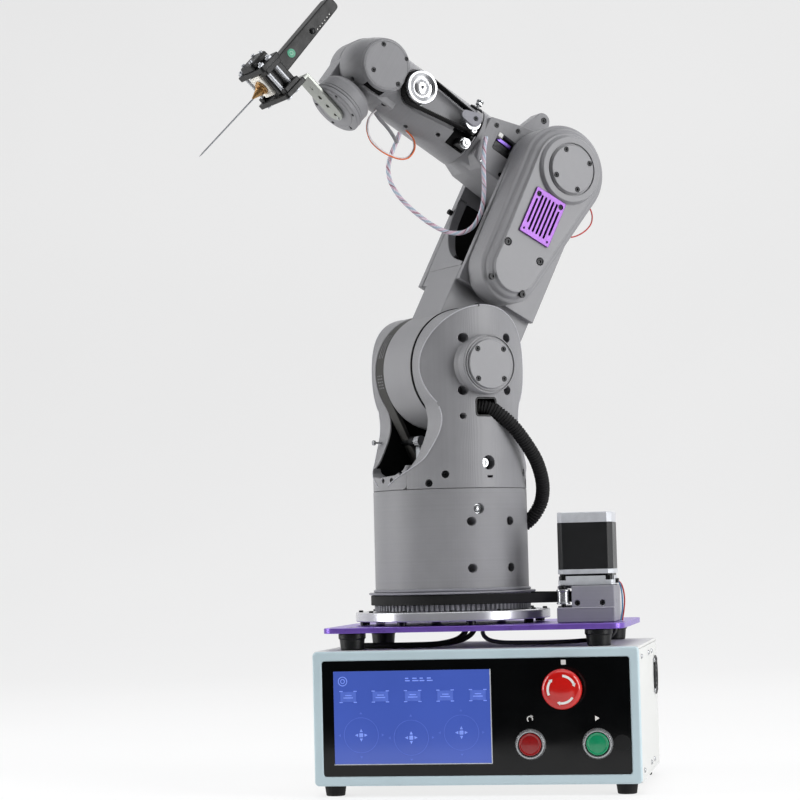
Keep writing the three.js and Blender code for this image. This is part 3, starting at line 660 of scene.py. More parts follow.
def build_surround():
    """A room that is dark in front of the object and pale behind and above it."""
    world = bpy.data.worlds.new("surround")
    world.use_nodes = True
    tree = world.node_tree
    background = tree.nodes["Background"]
    direction = tree.nodes.new("ShaderNodeTexCoord").outputs["Generated"]
    lean = tree.nodes.new("ShaderNodeVectorMath")
    lean.operation = "DOT_PRODUCT"
    lean.inputs[1].default_value = (0.12, 0.85, 0.5)
    room = tree.nodes.new("ShaderNodeMapRange")
    for socket, value in (("From Min", -0.35), ("From Max", 0.75), ("To Min", 0.05), ("To Max", 0.8)):
        room.inputs[socket].default_value = value
    seen = tree.nodes.new("ShaderNodeLightPath").outputs["Is Camera Ray"]
    strength = tree.nodes.new("ShaderNodeMix")
    strength.inputs[3].default_value = 0.85
    tree.links.new(direction, lean.inputs[0])
    tree.links.new(lean.outputs["Value"], room.inputs["Value"])
    tree.links.new(seen, strength.inputs[0])
    tree.links.new(room.outputs["Result"], strength.inputs[2])
    tree.links.new(strength.outputs[0], background.inputs["Strength"])
    background.inputs["Color"].default_value = (0.96, 0.97, 1.0, 1)
    bpy.context.scene.world = world


build_stage()
build_lights()


# ---- small parts used everywhere --------------------------------------------------------
def cap_screw(origin, direction, r=2.6, height=2.6, socket=0.55):
    """A socket head screw, its head standing on origin and pointing along direction."""
    head = turned([
        (r * 0.2, 0), (r * 0.93, 0), (r, 0.25), (r, height - 0.35), (r - 0.35, height),
        (r * socket + 0.1, height, 6), (r * socket, height - 0.15, 6), (r * socket, height - 1.5, 6),
        (r * 0.1, height - 1.7, 6),
    ], "z", n=24)
    return moved(head, toward(origin, direction))


def button_screw(origin, direction, r=3.0, height=1.9):
    head = turned([(r * 0.2, -0.6), (r, -0.6), (r, 0.1), (r * 0.9, height * 0.5), (r * 0.66, height * 0.88),
                   (r * 0.45, height, 6), (r * 0.42, height - 0.2, 6), (r * 0.42, height - 1.2, 6),
                   (r * 0.05, height - 1.3, 6), ], "z", n=24)
    return moved(head, toward(origin, direction))


def washer(origin, direction, r, hole, thick=0.8):
    ring = turned([(r - 0.2, 0), (r, 0.2), (r, thick - 0.2), (r - 0.2, thick), (hole, thick), (hole, 0)],
                  "z", n=32, closed=True)
    return moved(ring, toward(origin, direction))


def hex_nut(origin, direction, r=3.4, height=2.6):
    ring = turned([(r * 0.85, 0, 6), (r, 0.3, 6), (r, height - 0.4, 6), (r * 0.86, height),
                   (r * 0.5, height), (r * 0.5, 0)], "z", n=36, closed=True)
    return moved(ring, toward(origin, direction))


def pin(start, end, r, n=16):
    """A plain round bar between two points, ends softened."""
    a, b = Vector(start), Vector(end)
    length = (b - a).length
    bar = turned([(r * 0.6, 0), (r, r * 0.4), (r, length - r * 0.4), (r * 0.6, length)], "z", n=n)
    return moved(bar, toward(start, b - a))


def threaded(start, end, r, pitch=0.8):
    """A bar with thread grooves."""
    a, b = Vector(start), Vector(end)
    length = (b - a).length
    steps = max(2, int(length / (pitch / 2)))
    profile = [(r * 0.5, 0)]
    profile += [(r if i % 2 else r * 0.86, length * i / steps) for i in range(steps + 1)]
    profile += [(r * 0.5, length)]
    return moved(turned(profile, "z", n=16), toward(start, b - a))


def drill(origin, direction, r, depth, lead=0.35, n=32):
    """The tool for a round hole whose mouth is chamfered; it starts outside the surface."""
    profile = [(r + lead, 3), (r + lead, 0), (r, -lead), (r, -depth)]
    return moved(turned(profile, "z", n=n), toward(origin, direction))


def motor_outline(x, y, half, corner):
    """A square with its four corners cut off, as steppers have."""
    corners = [(-half + corner, -half), (half - corner, -half), (half, -half + corner), (half, half - corner),
               (half - corner, half), (-half + corner, half), (-half, half - corner), (-half, -half + corner)]
    return fillet([(x + a, y + b) for a, b in corners], 1.2, 3)


def stepper(prefix, place, size, h0, h1, body, stack, replaces, corner=5.0):
    """A stepper motor along local Y: black laminated stack between two cast caps, with tie bolts."""
    half = size / 2
    notch = motor_outline(0, 0, half, corner)
    cap = (h1 - h0) * 0.16
    piece(prefix + "_stack", puck(notch, soft(h0 + cap, h1 - cap, 0.3)), place, body, stack, replaces)
    caps = [puck(inset(notch, 0.3), soft(h0, h0 + cap, 0.8, 0.2)),
            puck(inset(notch, 0.3), soft(h1 - cap, h1, 0.2, 0.8))]
    piece(prefix + "_caps", merged(*caps), place, body, silver_cap)
    bolts = []
    reach = half - corner * 0.95
    for a in (-reach, reach):
        for b in (-reach, reach):
            bolts.append(cap_screw((a, h0 + 0.2, b), (0, -1, 0), 2.2, 1.6))
    piece(prefix + "_bolts", merged(*bolts), place, body, steel)


# ---- control box ------------------------------------------------------------------------
LEFT, RIGHT, FRONT, BACK, BOTTOM, TOP = -126, 204, -125, 120, 11, 146
DECK_FRONT = FRONT + 8.3


FAN = (84, 108)  # middle of the cooling fan on the right wall, along Y and Z


def build_box():
    for end, x in (("left", LEFT + 17), ("right", RIGHT - 17)):
        for side, y in (("front", FRONT + 22), ("rear", BACK - 20)):
            foot = turned([(3.0, 1.4), (4.2, 0.1), (8.9, 0), (9.6, 0.6), (10.9, 9.9), (10.5, 10.7),
                           (2, 10.7)], "z", (x, y), 48)
            node = f"foot_{side}_{end}"
            piece(node + "_rubber", foot, WORLD, "base", black_rubber, [node])
    sheet = {"box_floor": block(LEFT, RIGHT, DECK_FRONT, BACK, 11, 14, 0.8, 1.2),
             "box_top": block(LEFT, RIGHT, DECK_FRONT, BACK, 143, 146, 1.2, 1.6),
             "box_left_wall": block(LEFT, LEFT + 3, DECK_FRONT, BACK, 14.1, 142.9, 0.4, 0.9)}
    for node, shell in sheet.items():
        piece(node + "_sheet", shell, WORLD, "base", white_sheet, [node])
    vent = rod("x", FAN, RIGHT - 6, RIGHT + 6, 18, rim=0.01)
    wall = carve([block(RIGHT - 3, RIGHT, DECK_FRONT, BACK, 14.1, 142.9, 0.4, 0.9)], [vent])
    piece("box_right_wall_sheet", wall, WORLD, "base", white_sheet, ["box_right_wall"])
    rear = block(LEFT + 3.3, RIGHT - 3.3, BACK - 3, BACK, 14.3, 142.7, 0.4, 0.5)
    cuts = [puck(round_rect(x, x + 3, 92, 128, 1.4), [(0, BACK - 6), (0, BACK + 4)])
            for x in range(-100, -40, 7)]
    cuts += [puck(round_rect(60, 90, 40, 62, 2), [(0, BACK - 6), (0, BACK + 4)])]
    piece("box_rear_wall_sheet", carve([rear], cuts), WORLD, "base", white_sheet,
          ["box_rear_wall"])
    # rear fittings: mains inlet, rocker switch, round sockets, screws
    rim = carve([puck(round_rect(56, 94, 36, 66, 3), soft(BACK - 2, BACK + 2, 0.8))],
                [puck(fillet([(61, 42), (89, 42), (89, 54), (83, 61), (67, 61), (61, 54)], 1.2),
                      [(0, BACK - 1), (0, BACK + 4)])])
    pins = [block(x - 1, x + 1, BACK - 1.5, BACK + 1.4, z - 2.5, z + 2.5, 0.3) for x,
            z in ((68, 49), (75, 55), (82, 49))]
    rocker = puck(round_rect(104, 124, 40, 66, 2), soft(BACK - 0.5, BACK + 1.4, 0.6))
    paddle = puck(round_rect(107, 121, 43, 63, 1.5), soft(BACK + 0.5, BACK + 3.4, 1.2))
    piece("mains_inlet", merged(rim, rocker), WORLD, "base", black_plastic)
    piece("inlet_pins", merged(*pins), WORLD, "base", steel)
    piece("power_rocker", paddle, WORLD, "base", dark_red)
    sockets, shells = [], []
    for i, x in enumerate((-96, -60, -24, 12)):
        centre = (x, 52)
        shells.append(turned([(9, BACK - 1), (12, BACK - 0.2), (12, BACK + 1.4), (11.4, BACK + 2),
                              (9.6, BACK + 2), (9.2, BACK + 6), (8, BACK + 6.4), (7.4, BACK + 6),
                              (7.4, BACK + 1)], "y", centre, 48, True))
        sockets.append(turned([(0.5, BACK), (7.3, BACK), (7.3, BACK + 3.5), (0.5, BACK + 3.5)], "y", centre,
                              40))
        sockets += [rod("y", (x + 4 * math.cos(a), 52 + 4 * math.sin(a)), BACK + 3, BACK + 5.4, 0.7, rim=0.2,
                        n=12) for a in (0.4 + i, 2.5 + i, 4.6 + i)]
    piece("rear_socket_shells", merged(*shells), WORLD, "base", steel)
    piece("rear_socket_cores", merged(*sockets), WORLD, "base", black_plastic)
    heads = []
    for x in (LEFT + 12, 39, RIGHT - 12):
        for z in (20, 137):
            heads.append(button_screw((x, BACK, z), (0, 1, 0), 2.8, 1.7))
    for y in (-95, 0, 40):
        for z in (22, 135):
            heads.append(button_screw((RIGHT, y, z), (1, 0, 0), 2.8, 1.7))
            heads.append(button_screw((LEFT, y, z), (-1, 0, 0), 2.8, 1.7))
    piece("box_screws", merged(*heads), WORLD, "base", steel)
    # fan guard
    guard = [torus("x", FAN, RIGHT + 1.4, r, 0.8, 64, 8) for r in (5, 10, 15, 20)]
    for a in (45, 135, 225, 315):
        s, c = math.sin(math.radians(a)), math.cos(math.radians(a))
        inner, outer = [(RIGHT + 0.7, FAN[0] + r * c, FAN[1] + r * s) for r in (3, 23.5)]
        guard.append(pin(inner, outer, 0.8))
    lugs = [button_screw((RIGHT + 0.8, FAN[0] + a, FAN[1] + b), (1, 0, 0), 2.6, 1.4)
            for a in (-16, 16) for b in (-16, 16)]
    piece("fan_guard", merged(*guard), WORLD, "base", black_screw)
    piece("fan_guard_screws", merged(*lugs), WORLD, "base", steel)


def build_front():
    outer = round_rect(LEFT, RIGHT, BOTTOM, TOP, 4.5, 8)
    recess = puck(round_rect(LEFT + 9.5, RIGHT - 9.5, BOTTOM + 9.5, TOP - 9.5, 3),
                  [(-0.8, FRONT - 1), (-0.8, FRONT - 0.1), (0, FRONT + 0.7), (0, FRONT + 2.5)])
    holes = [rod("y", (129, 106), FRONT - 3, FRONT + 12, 11.3, rim=0.01)]
    holes += [rod("y", (x, 51), FRONT - 3, FRONT + 12, 13.5, rim=0.01) for x in (94, 161)]
    bezel = carve([puck(outer, soft(FRONT, FRONT + 8, 2.2, 0.6, 4))], [recess] + holes)
    piece("front_bezel_frame", bezel, WORLD, "base", bezel_blue, ["front_bezel"])
    sheet = puck(round_rect(LEFT + 9.8, RIGHT - 9.8, BOTTOM + 9.8, TOP - 9.8, 2.6),
                 soft(FRONT + 0.6, FRONT + 2.2, 0.3))
    piece("front_panel_acrylic", carve([sheet], holes), WORLD, "base", black_gloss,
          ["front_panel"])
    dot = turned([(0.4, FRONT + 0.3), (8.1, FRONT + 0.25), (8.5, FRONT + 0.45), (8.5, FRONT + 1.2),
                  (0.4, FRONT + 1.2)], "y", (185, 51), 48)
    piece("sensor_window", dot, WORLD, "base", black_plastic)


def ribbon(outline, y0=FRONT - 0.45, y1=FRONT - 0.15):
    return puck(outline, [(0, y0), (0, y1)])


def ring_ribbon(x, z, r, width, y0=FRONT - 0.45, y1=FRONT - 0.15, n=40, start=0, end=360):
    if end - start >= 360:
        return turned([(r - width / 2, y0), (r + width / 2, y0), (r + width / 2, y1), (r - width / 2, y1)],
                      "y", (x, z), n, closed=True)
    outer = arc(x, z, r + width / 2, start, end, n)
    inner = arc(x, z, r - width / 2, end, start, n)
    return ribbon(outer + inner, y0, y1)


def build_screen():
    x0, x1, z0, z1 = -104.5, 55.0, 33.0, 126.0
    glass = puck(round_rect(x0, x1, z0, z1, 0.8, 3), soft(FRONT - 0.2, FRONT + 0.3, 0.15))
    piece("touch_screen_glass", glass, WORLD, "base", screen_blue, ["touch_screen"])
    edge = [ribbon(round_rect(x1 - 0.2, x1 + 0.7, z0 - 0.3, z1 + 0.3, 0.2, 2), FRONT - 0.3, FRONT + 0.3),
            ribbon(round_rect(x0 - 0.6, x1 + 0.7, z0 - 0.8, z0 + 0.1, 0.2, 2), FRONT - 0.3, FRONT + 0.3)]
    piece("screen_edge", merged(*edge), WORLD, "base", silver_cap)
    raised = FRONT - 0.75, FRONT - 0.46
    marks, faint = [], []
    for i, width in enumerate((5.0, 6.5, 5.0, 6.0)):
        x = -31 + 7.4 * i
        marks.append(ribbon(round_rect(x, x + width, 115.2, 116.4, 0.4, 2)))
        marks.append(ribbon(round_rect(x, x + width * 0.7, 117.6, 118.8, 0.4, 2)))
    marks.append(ring_ribbon(-95, 116, 4.4, 0.8))
    marks.append(ring_ribbon(-95, 116, 2.0, 0.7))
    for k in range(5):
        x = -89.5 + 33 * k
        faint.append(ribbon(round_rect(x - 8, x + 8, 95.5, 105.5, 1.2, 3)))
        for sx in (-1, 1):
            for sz in (-1, 1):
                a, b = sorted((x + sx * 9, x + sx * 5.5))
                c, d = sorted((100.5 + sz * 6, 100.5 + sz * 5))
                marks.append(ribbon(round_rect(a, b, c, d, 0.3, 2), *raised))
        marks.append(ribbon(round_rect(x - 5, x + 5, 99, 100, 0.4, 2), *raised))
        marks.append(ribbon(round_rect(x - 3.2, x + 3.6, 101.4, 102.4, 0.4, 2), *raised))
    for x, z in ((-77, 62), (-26, 59), (25, 63.5)):
        faint.append(ring_ribbon(x, z, 17.5, 0.6, n=64))
        for turn in range(4):
            c, s = math.cos(math.pi / 2 * turn), math.sin(math.pi / 2 * turn)
            near = fillet([(x + 3.2 * c - 1.6 * s, z + 3.2 * s + 1.6 * c),
                           (x + 3.2 * c + 1.6 * s, z + 3.2 * s - 1.6 * c), (x + 6.6 * c, z + 6.6 * s)], 0.3,
                          2)
            marks.append(ribbon(near))
            far = [(x + 21 * c - 1.5 * s, z + 21 * s + 1.5 * c), (x + 21 * c + 1.5 * s, z + 21 * s - 1.5 * c),
                   (x + 23.4 * c, z + 23.4 * s)]
            faint.append(ribbon(far))
        marks.append(ribbon(round_rect(x - 2, x + 2, z - 2, z + 2, 0.6, 3)))
    piece("screen_marks", merged(*marks), WORLD, "base", screen_mark)
    piece("screen_faint_marks", merged(*faint), WORLD, "base", screen_faint)
    # generic pictograms above the switches
    y0, y1 = FRONT + 0.25, FRONT + 0.7
    signs = [
        ribbon(round_rect(126.6, 131.4, 129.2, 134.0, 0.6, 3), y0, y1),
        ring_ribbon(94, 76, 2.6, 0.9, y0, y1, 24, -30, 240),
        ribbon([(94.8, 79.9), (94.8, 77.0), (97.4, 78.6)], y0, y1),
        ribbon([(159, 73.4), (159, 78.6), (163.4, 76)], y0, y1),
    ]
    piece("switch_pictograms", merged(*signs), WORLD, "base", white_print)


def build_switches():
    x, z = 129, 106
    collar = turned([(10.8, FRONT + 0.4), (16, FRONT + 0.3), (16, FRONT - 0.6), (15.2, FRONT - 2),
                     (14.6, FRONT - 6), (13.8, FRONT - 6.7), (6.2, FRONT - 6.7), (6.2, FRONT + 6),
                     (10.8, FRONT + 6)], "y", (x, z), 64, True)
    piece("estop_collar", collar, WORLD, "base", black_plastic, ["estop_base"])
    back = -138.6  # the back of the mushroom head
    head = turned([(2, back), (15.5, back), (18.6, back - 0.7), (19.8, back - 2.4), (20, back - 4.4),
                   (19.9, back - 7), (19.1, back - 9), (17.4, back - 10.5), (15.6, back - 11.0),
                   (14.9, back - 10.8), (11.9, back - 11.3), (11.2, back - 11.8), (8, back - 12.6),
                   (4, back - 12.9), (0.5, back - 13)], "y", (x, z), 72)
    piece("estop_mushroom", head, WORLD, "estop_knob", red_gloss, ["estop_head"])
    arrows = []
    for start in (22, 142, 262):
        sweep = arc(x, z, 14.6, start, start + 62, 14) + arc(x, z, 12.3, start + 62, start, 14)
        rings = []
        for level in (back - 10.2, back - 11.45):
            rings.append([(px, level, pz) for px, pz in sweep])
        arrows.append(rings_shell(rings))
        tip = math.radians(start - 11)
        corners = [(x + 13.4 * math.cos(tip), z + 13.4 * math.sin(tip))]
        for r in (15.6, 11.3):
            t = math.radians(start + 1)
            corners.append((x + r * math.cos(t), z + r * math.sin(t)))
        arrows.append(rings_shell([[(px, level, pz) for px, pz in corners]
                                   for level in (back - 10.2, back - 11.45)]))
    piece("estop_arrows", merged(*arrows), WORLD, "estop_knob", white_print)
    for name, cx, material, slot in (("reset", 94, dark_red, "dark_red"),
                                     ("start", 161, green_gloss, "green_gloss")):
        f = FRONT + 0.3
        ring = turned([(11.7, f + 4), (11.7, f - 3.4), (12.1, f - 4.2), (13, f - 4.5), (14, f - 4.1),
                       (14.9, f - 2.4), (15.4, f - 0.6), (15.4, f), (13.2, f + 0.1), (13.2, f + 4)], "y",
                      (cx, 51), 72, True)
        piece(f"{name}_ring", ring, WORLD, "base", steel, [f"{name}_switch"])
        cap = turned([(6, f + 4.2), (11.2, f + 4.2), (11.2, f - 4.6), (10.9, f - 5.3), (10.2, f - 5.7),
                      (9.4, f - 5.6), (8.8, f - 5.2), (5, f - 5.45), (0.5, f - 5.6)], "y", (cx, 51), 64)
        piece(f"{name}_cap", cap, WORLD, f"{name}_cap", material, [f"{name}_button"])


build_box()
build_front()
build_screen()
build_switches()


# ---- base plate and waist drive -----------------------------------------------------------
PLATE_HOLES = [(x, y) for x in (-91.5, 161.5) for y in (-88, 88)]
PLATE_TOP = 169


def spots_round(r, count, start):
    """Evenly spaced places on a circle round the waist axis."""
    turns = [math.radians(360 / count * i + start) for i in range(count)]
    return [(r * math.cos(t), r * math.sin(t)) for t in turns]


def build_plate():
    sinks = [moved(turned([(6, 1), (6, 0), (3.2, -2.8), (3.2, -9)], "z", n=40),
                   Matrix.Translation((x, y, PLATE_TOP))) for x, y in PLATE_HOLES]
    plate = carve([puck(round_rect(-119, 189, -110, 110, 14, 10), soft(163.5, PLATE_TOP, 0.7), "z")], sinks)
    piece("base_plate_anodised", plate, WORLD, "base", purple, ["base_plate"])
    head = turned([(1, -4), (3, -4), (3, -2.8), (5.8, -0.15), (5.6, 0.05), (3.4, 0.1), (2.4, 0.1, 6),
                   (2.3, -1.6, 6), (0.3, -1.7, 6)], "z", n=36)
    heads = [moved(head, Matrix.Translation((x, y, PLATE_TOP))) for x, y in PLATE_HOLES]
    piece("plate_screws", merged(*heads), WORLD, "base", black_screw)
    for end, x in (("left", -91.5), ("right", 161.5)):
        for side, y in (("front", -88), ("rear", 88)):
            node = f"post_{side}_{end}"
            post = turned([(4, 146.3), (11.2, 146.3), (11.9, 147), (12.9, 157), (13.3, 157.4), (14, 158.2),
                           (14, 162.5), (13.4, 163.2), (4, 163.2)], "z", (x, y), 56)
            piece(node + "_rubber", post, WORLD, "base", black_plastic, [node])
    ring = turned([(66, 173.5), (101.8, 173.5), (102.5, 174.2), (102.5, 182.2), (101.7, 183), (91, 183),
                   (90.6, 182.7), (66, 182.7)], "z", (0, 0), 160, True)
    studs = [rod("z", spot, 169.3, 174, 5, rim=0.4, n=32) for spot in spots_round(94, 8, 20)]
    piece("bearing_ring_turned", ring, WORLD, "base", ring_turned, ["bearing_ring"])
    piece("ring_spacers", merged(*studs), WORLD, "base", black_screw)
    tops = [cap_screw((x, y, 182.7), (0, 0, 1), 2.4, 2.2) for x, y in spots_round(97, 12, 8)]
    piece("ring_screws", merged(*tops), WORLD, "base", black_screw)


def gear(centre, root, outer, teeth, h0, h1, axis="z", rim=0.3):
    outline = []
    for i in range(teeth):
        for share, r in ((-0.42, root), (-0.2, outer), (0.2, outer), (0.42, root)):
            t = 2 * math.pi * (i + share) / teeth
            outline.append((centre[0] + r * math.cos(t), centre[1] + r * math.sin(t)))
    return puck(outline, [(rim, h0), (0, h0 + rim), (0, h1 - rim), (rim, h1)], axis)


def loop(outer, inner, h0, h1, axis, rim=0.25):
    """A flat belt: the space between two outlines of equally many points."""
    put = PUT[axis]
    rings = [[put(*p, h) for p in inset(outline, d)] for outline, d, h in (
        (outer, rim, h0), (outer, 0, h0 + rim), (outer, 0, h1 - rim), (outer, rim, h1),
        (inner, -rim, h1), (inner, 0, h1 - rim), (inner, 0, h0 + rim), (inner, -rim, h0))]
    return rings_shell(rings, closed=True)


MOTOR_X, MOTOR_Y = 148, -40
DECK = 206.5  # top of the motor bracket


def build_bracket():
    """A printed block with a deep pocket for the drive pulley, in two halves that meet at a ledge."""
    low, high = 169.3, DECK
    seam = 183.5
    cuts = [block(116, 172.5, -70, 0, 186, 203.7, 0.05), block(116, 134, -78, -63, 184, 208, 0.05),
            rod("z", (MOTOR_X, MOTOR_Y), 200, 210, 20, rim=0.01),
            block(117, 179, -76, -74.6, seam - 0.5, seam + 0.1, 0.02)]
    cuts += [drill((x, -75, 189), (0, -1, 0), 3.0, 4.5, 0.4) for x in (139.5, 165)]
    cuts.append(drill((177.5, -52, 190), (1, 0, 0), 2.4, 3))
    bracket = carve([block(118.5, 177.5, -75, -5, low, high, 1.2, 1.5)], cuts)
    piece("motor_bracket_print", bracket, WORLD, "base", print_dark, ["motor_bracket"])
    ledge = block(118.9, 177.2, -75.3, -74.4, seam, seam + 1.1, 0.25, 0.3)
    piece("bracket_ledge", ledge, WORLD, "base", print_pale)
    screws = [cap_screw((x, -72.2, 189), (0, -1, 0), 2.1, 2) for x in (139.5, 165)]
    screws += [cap_screw((x, y, high), (0, 0, 1), 2.2, 1.8) for x in (123.5, 173) for y in (-58, -16)]
    piece("bracket_screws", merged(*screws), WORLD, "base", black_screw)
    rings = [washer((x, -72.6, 189), (0, -1, 0), 2.9, 2.0, 0.5) for x in (139.5, 165)]
    piece("bracket_washers", merged(*rings), WORLD, "base", steel)


def build_waist_motor():
    """Black laminated stack between a cast flange below and a cast cap above, standing on its shaft end."""
    x, y, h = MOTOR_X, MOTOR_Y, 28.2
    notch = motor_outline(x, y, h, 5)
    piece("waist_motor_stack", puck(notch, soft(223, 270.7, 0.4), "z"), WORLD, "base", laminated,
          ["waist_motor"])
    flange = round_rect(x - h, x + h, y - h, y + h, 3.5, 5)
    pockets = [puck(round_rect(x + sx * 24.5 - 4.6, x + sx * 24.5 + 4.6, y + sy * 24.5 - 4.6,
                               y + sy * 24.5 + 4.6, 2), [(0, 212), (0, 217)], "z") for sx in (-1, 1)
               for sy in (-1, 1)]
    cast = [puck(inset(notch, 0.2), soft(270.7, 281.3, 0.3, 1.2), "z"),
            puck(inset(notch, -0.3), soft(218.3, 223, 0.4), "z"),
            carve([puck(flange, soft(206.8, 216.2, 0.6), "z")], pockets),
            rod("z", (x, y), 204, 207, 19, rim=0.4), rod("z", (x, y), 187, 207, 3.2, rim=0.3, n=24)]
    piece("waist_motor_castings", merged(*cast), WORLD, "base", silver_cap)
    dark = [puck(inset(notch, 1.4), [(0, 216), (0, 218.5)], "z")]
    dark += [rod("z", (x + sx * 23.5, y + sy * 23.5), 210, 216.5, 3.2, rim=0.3, n=24) for sx in (-1, 1)
             for sy in (-1, 1)]
    piece("waist_motor_gap", merged(*dark), WORLD, "base", black_screw)
    plug = block(x + 27.5, x + 31, y - 4, y + 9, 208.3, 213, 0.6, 0.8)
    piece("waist_motor_plug", plug, WORLD, "base", black_plastic)


def build_waist_drive():
    x, y = MOTOR_X, MOTOR_Y
    wheel = [gear((x, y), 12.0, 12.9, 28, 189.4, 201.6), rod("z", (x, y), 188.5, 189.6, 13, rim=0.3),
             rod("z", (x, y), 201.4, 202.5, 13, rim=0.3), rod("z", (x, y), 202.4, 203.4, 7, rim=0.2)]
    piece("waist_drive_pulley_teeth", merged(*wheel), WORLD, "waist_drive", brushed,
          ["waist_drive_pulley"])
    ix, iy = 125, -69.9
    roller = turned([(3, 188), (6.4, 188), (7, 188.4), (7, 189.4), (5.9, 190), (5.9, 200.6), (7, 201.2),
                     (7, 202.5), (6.4, 203), (3, 203)], "z", (ix, iy), 48, True)
    piece("belt_idler_roller", roller, WORLD, "idler", steel, ["belt_idler"])
    bolt = [pin((ix, iy, 184.2), (ix, iy, 204.8), 2.4), washer((ix, iy, 203.1), (0, 0, 1), 4.6, 2.4, 0.7),
            cap_screw((ix, iy, 203.8), (0, 0, 1), 3.4, 2.6)]
    piece("idler_bolt", merged(*bolt), WORLD, "base", black_screw)
    wide = stadium(0, 0, 86, x, y, 16.5, 96)
    narrow = stadium(0, 0, 83.05, x, y, 13.55, 96)
    piece("waist_belt_loop", loop(wide, narrow, 190, 200.2, "z", 0.4), WORLD, "base", black_rubber,
          ["waist_belt"])
    wheel = carve([gear((0, 0), 80.3, 82.4, 96, 183.5, 201, rim=0.4),
                   turned([(60, 200.8), (87.2, 200.8), (88, 201.4), (88, 202.4), (87.3, 203), (60, 203)],
                          "z", n=144)])
    piece("waist_pulley_teeth", wheel, ARM, "turret", print_dark, ["waist_pulley"])


build_plate()
build_bracket()
build_waist_motor()
build_waist_drive()


# ---- turret and shoulder --------------------------------------------------------------------
TURRET_R = 81.0
FOOT_Z = 309.3
NEAR, FAR = 37.0, -44.0


def on_column(u):
    """How far across the turret's round face lies at u."""
    return math.sqrt(TURRET_R ** 2 - u * u)


def cheek_outline(grow=0.0):
    start = -38
    r = 62.5
    head_x = r * math.cos(math.radians(start))
    head_z = SHOULDER + r * math.sin(math.radians(start))
    points = arc(0, SHOULDER, r, start, 180 - start, 72)
    points += bezier((-head_x, head_z), (-head_x + 8, head_z - 20), (-48, 366), (-58, 345))
    points += bezier((-58, 345), (-64, 332), (-TURRET_R, 326), (-TURRET_R, FOOT_Z))
    points.append((TURRET_R, FOOT_Z))
    points += bezier((TURRET_R, FOOT_Z), (TURRET_R, 326), (64, 332), (58, 345))
    points += bezier((58, 345), (48, 366), (head_x - 8, head_z - 20), (head_x, head_z))
    clean = []
    for p in points:
        if not clean or math.dist(p, clean[-1]) > 0.6:
            clean.append(p)
    if math.dist(clean[0], clean[-1]) < 0.6:
        clean.pop()
    return inset(clean, -grow)


def finely(points, step):
    """The same open line with points no further apart than step."""
    out = [points[0]]
    for a, b in zip(points, points[1:]):
        count = max(1, math.ceil(math.dist(a, b) / step))
        if abs(b[0] - a[0]) < 2 * 62.5 and a[1] > FOOT_Z + 1:
            out += [(a[0] + (b[0] - a[0]) * k / count, a[1] + (b[1] - a[1]) * k / count)
                    for k in range(1, count + 1)]
    return out


def column(z0, z1, r=TURRET_R, rim=0.05):
    return rod("z", (0, 0), z0, z1, r, rim=rim, n=160)


def chamfered_column(z0, z1):
    return turned([(1, z0), (TURRET_R - 1.2, z0), (TURRET_R, z0 + 1), (TURRET_R, z1 - 0.8),
                   (TURRET_R - 0.8, z1), (1, z1)], "z", n=160)


LOW_SCREWS = [(43.5, 323.5), (57, 314.8), (-56, 325), (-62, 315)]
CAP_GRID = [(u, z) for u in (-15.4, 15.4) for z in (-15.4, 15.4)]
HOUSING_HOLES = [(20.2, 274.7), (-27.8, 274.7), (20.2, 226.7), (-27.8, 226.7)]
CHEEK_HOLES = [(24, 463.7, 5.0), (-29.5, 464.6, 5.0), (25.3, 409.6, 5.0), (-28.7, 410.3, 5.0), (26, 383, 3.2),
               (-1, 335, 7.4)]


def low_direction(u):
    return Vector((u, on_column(u), 0)) / TURRET_R


def outward(side, n):
    """The direction out of the lip in front (side 1) or behind (side -1)."""
    return side * on_column(n) / TURRET_R, n / TURRET_R, 0


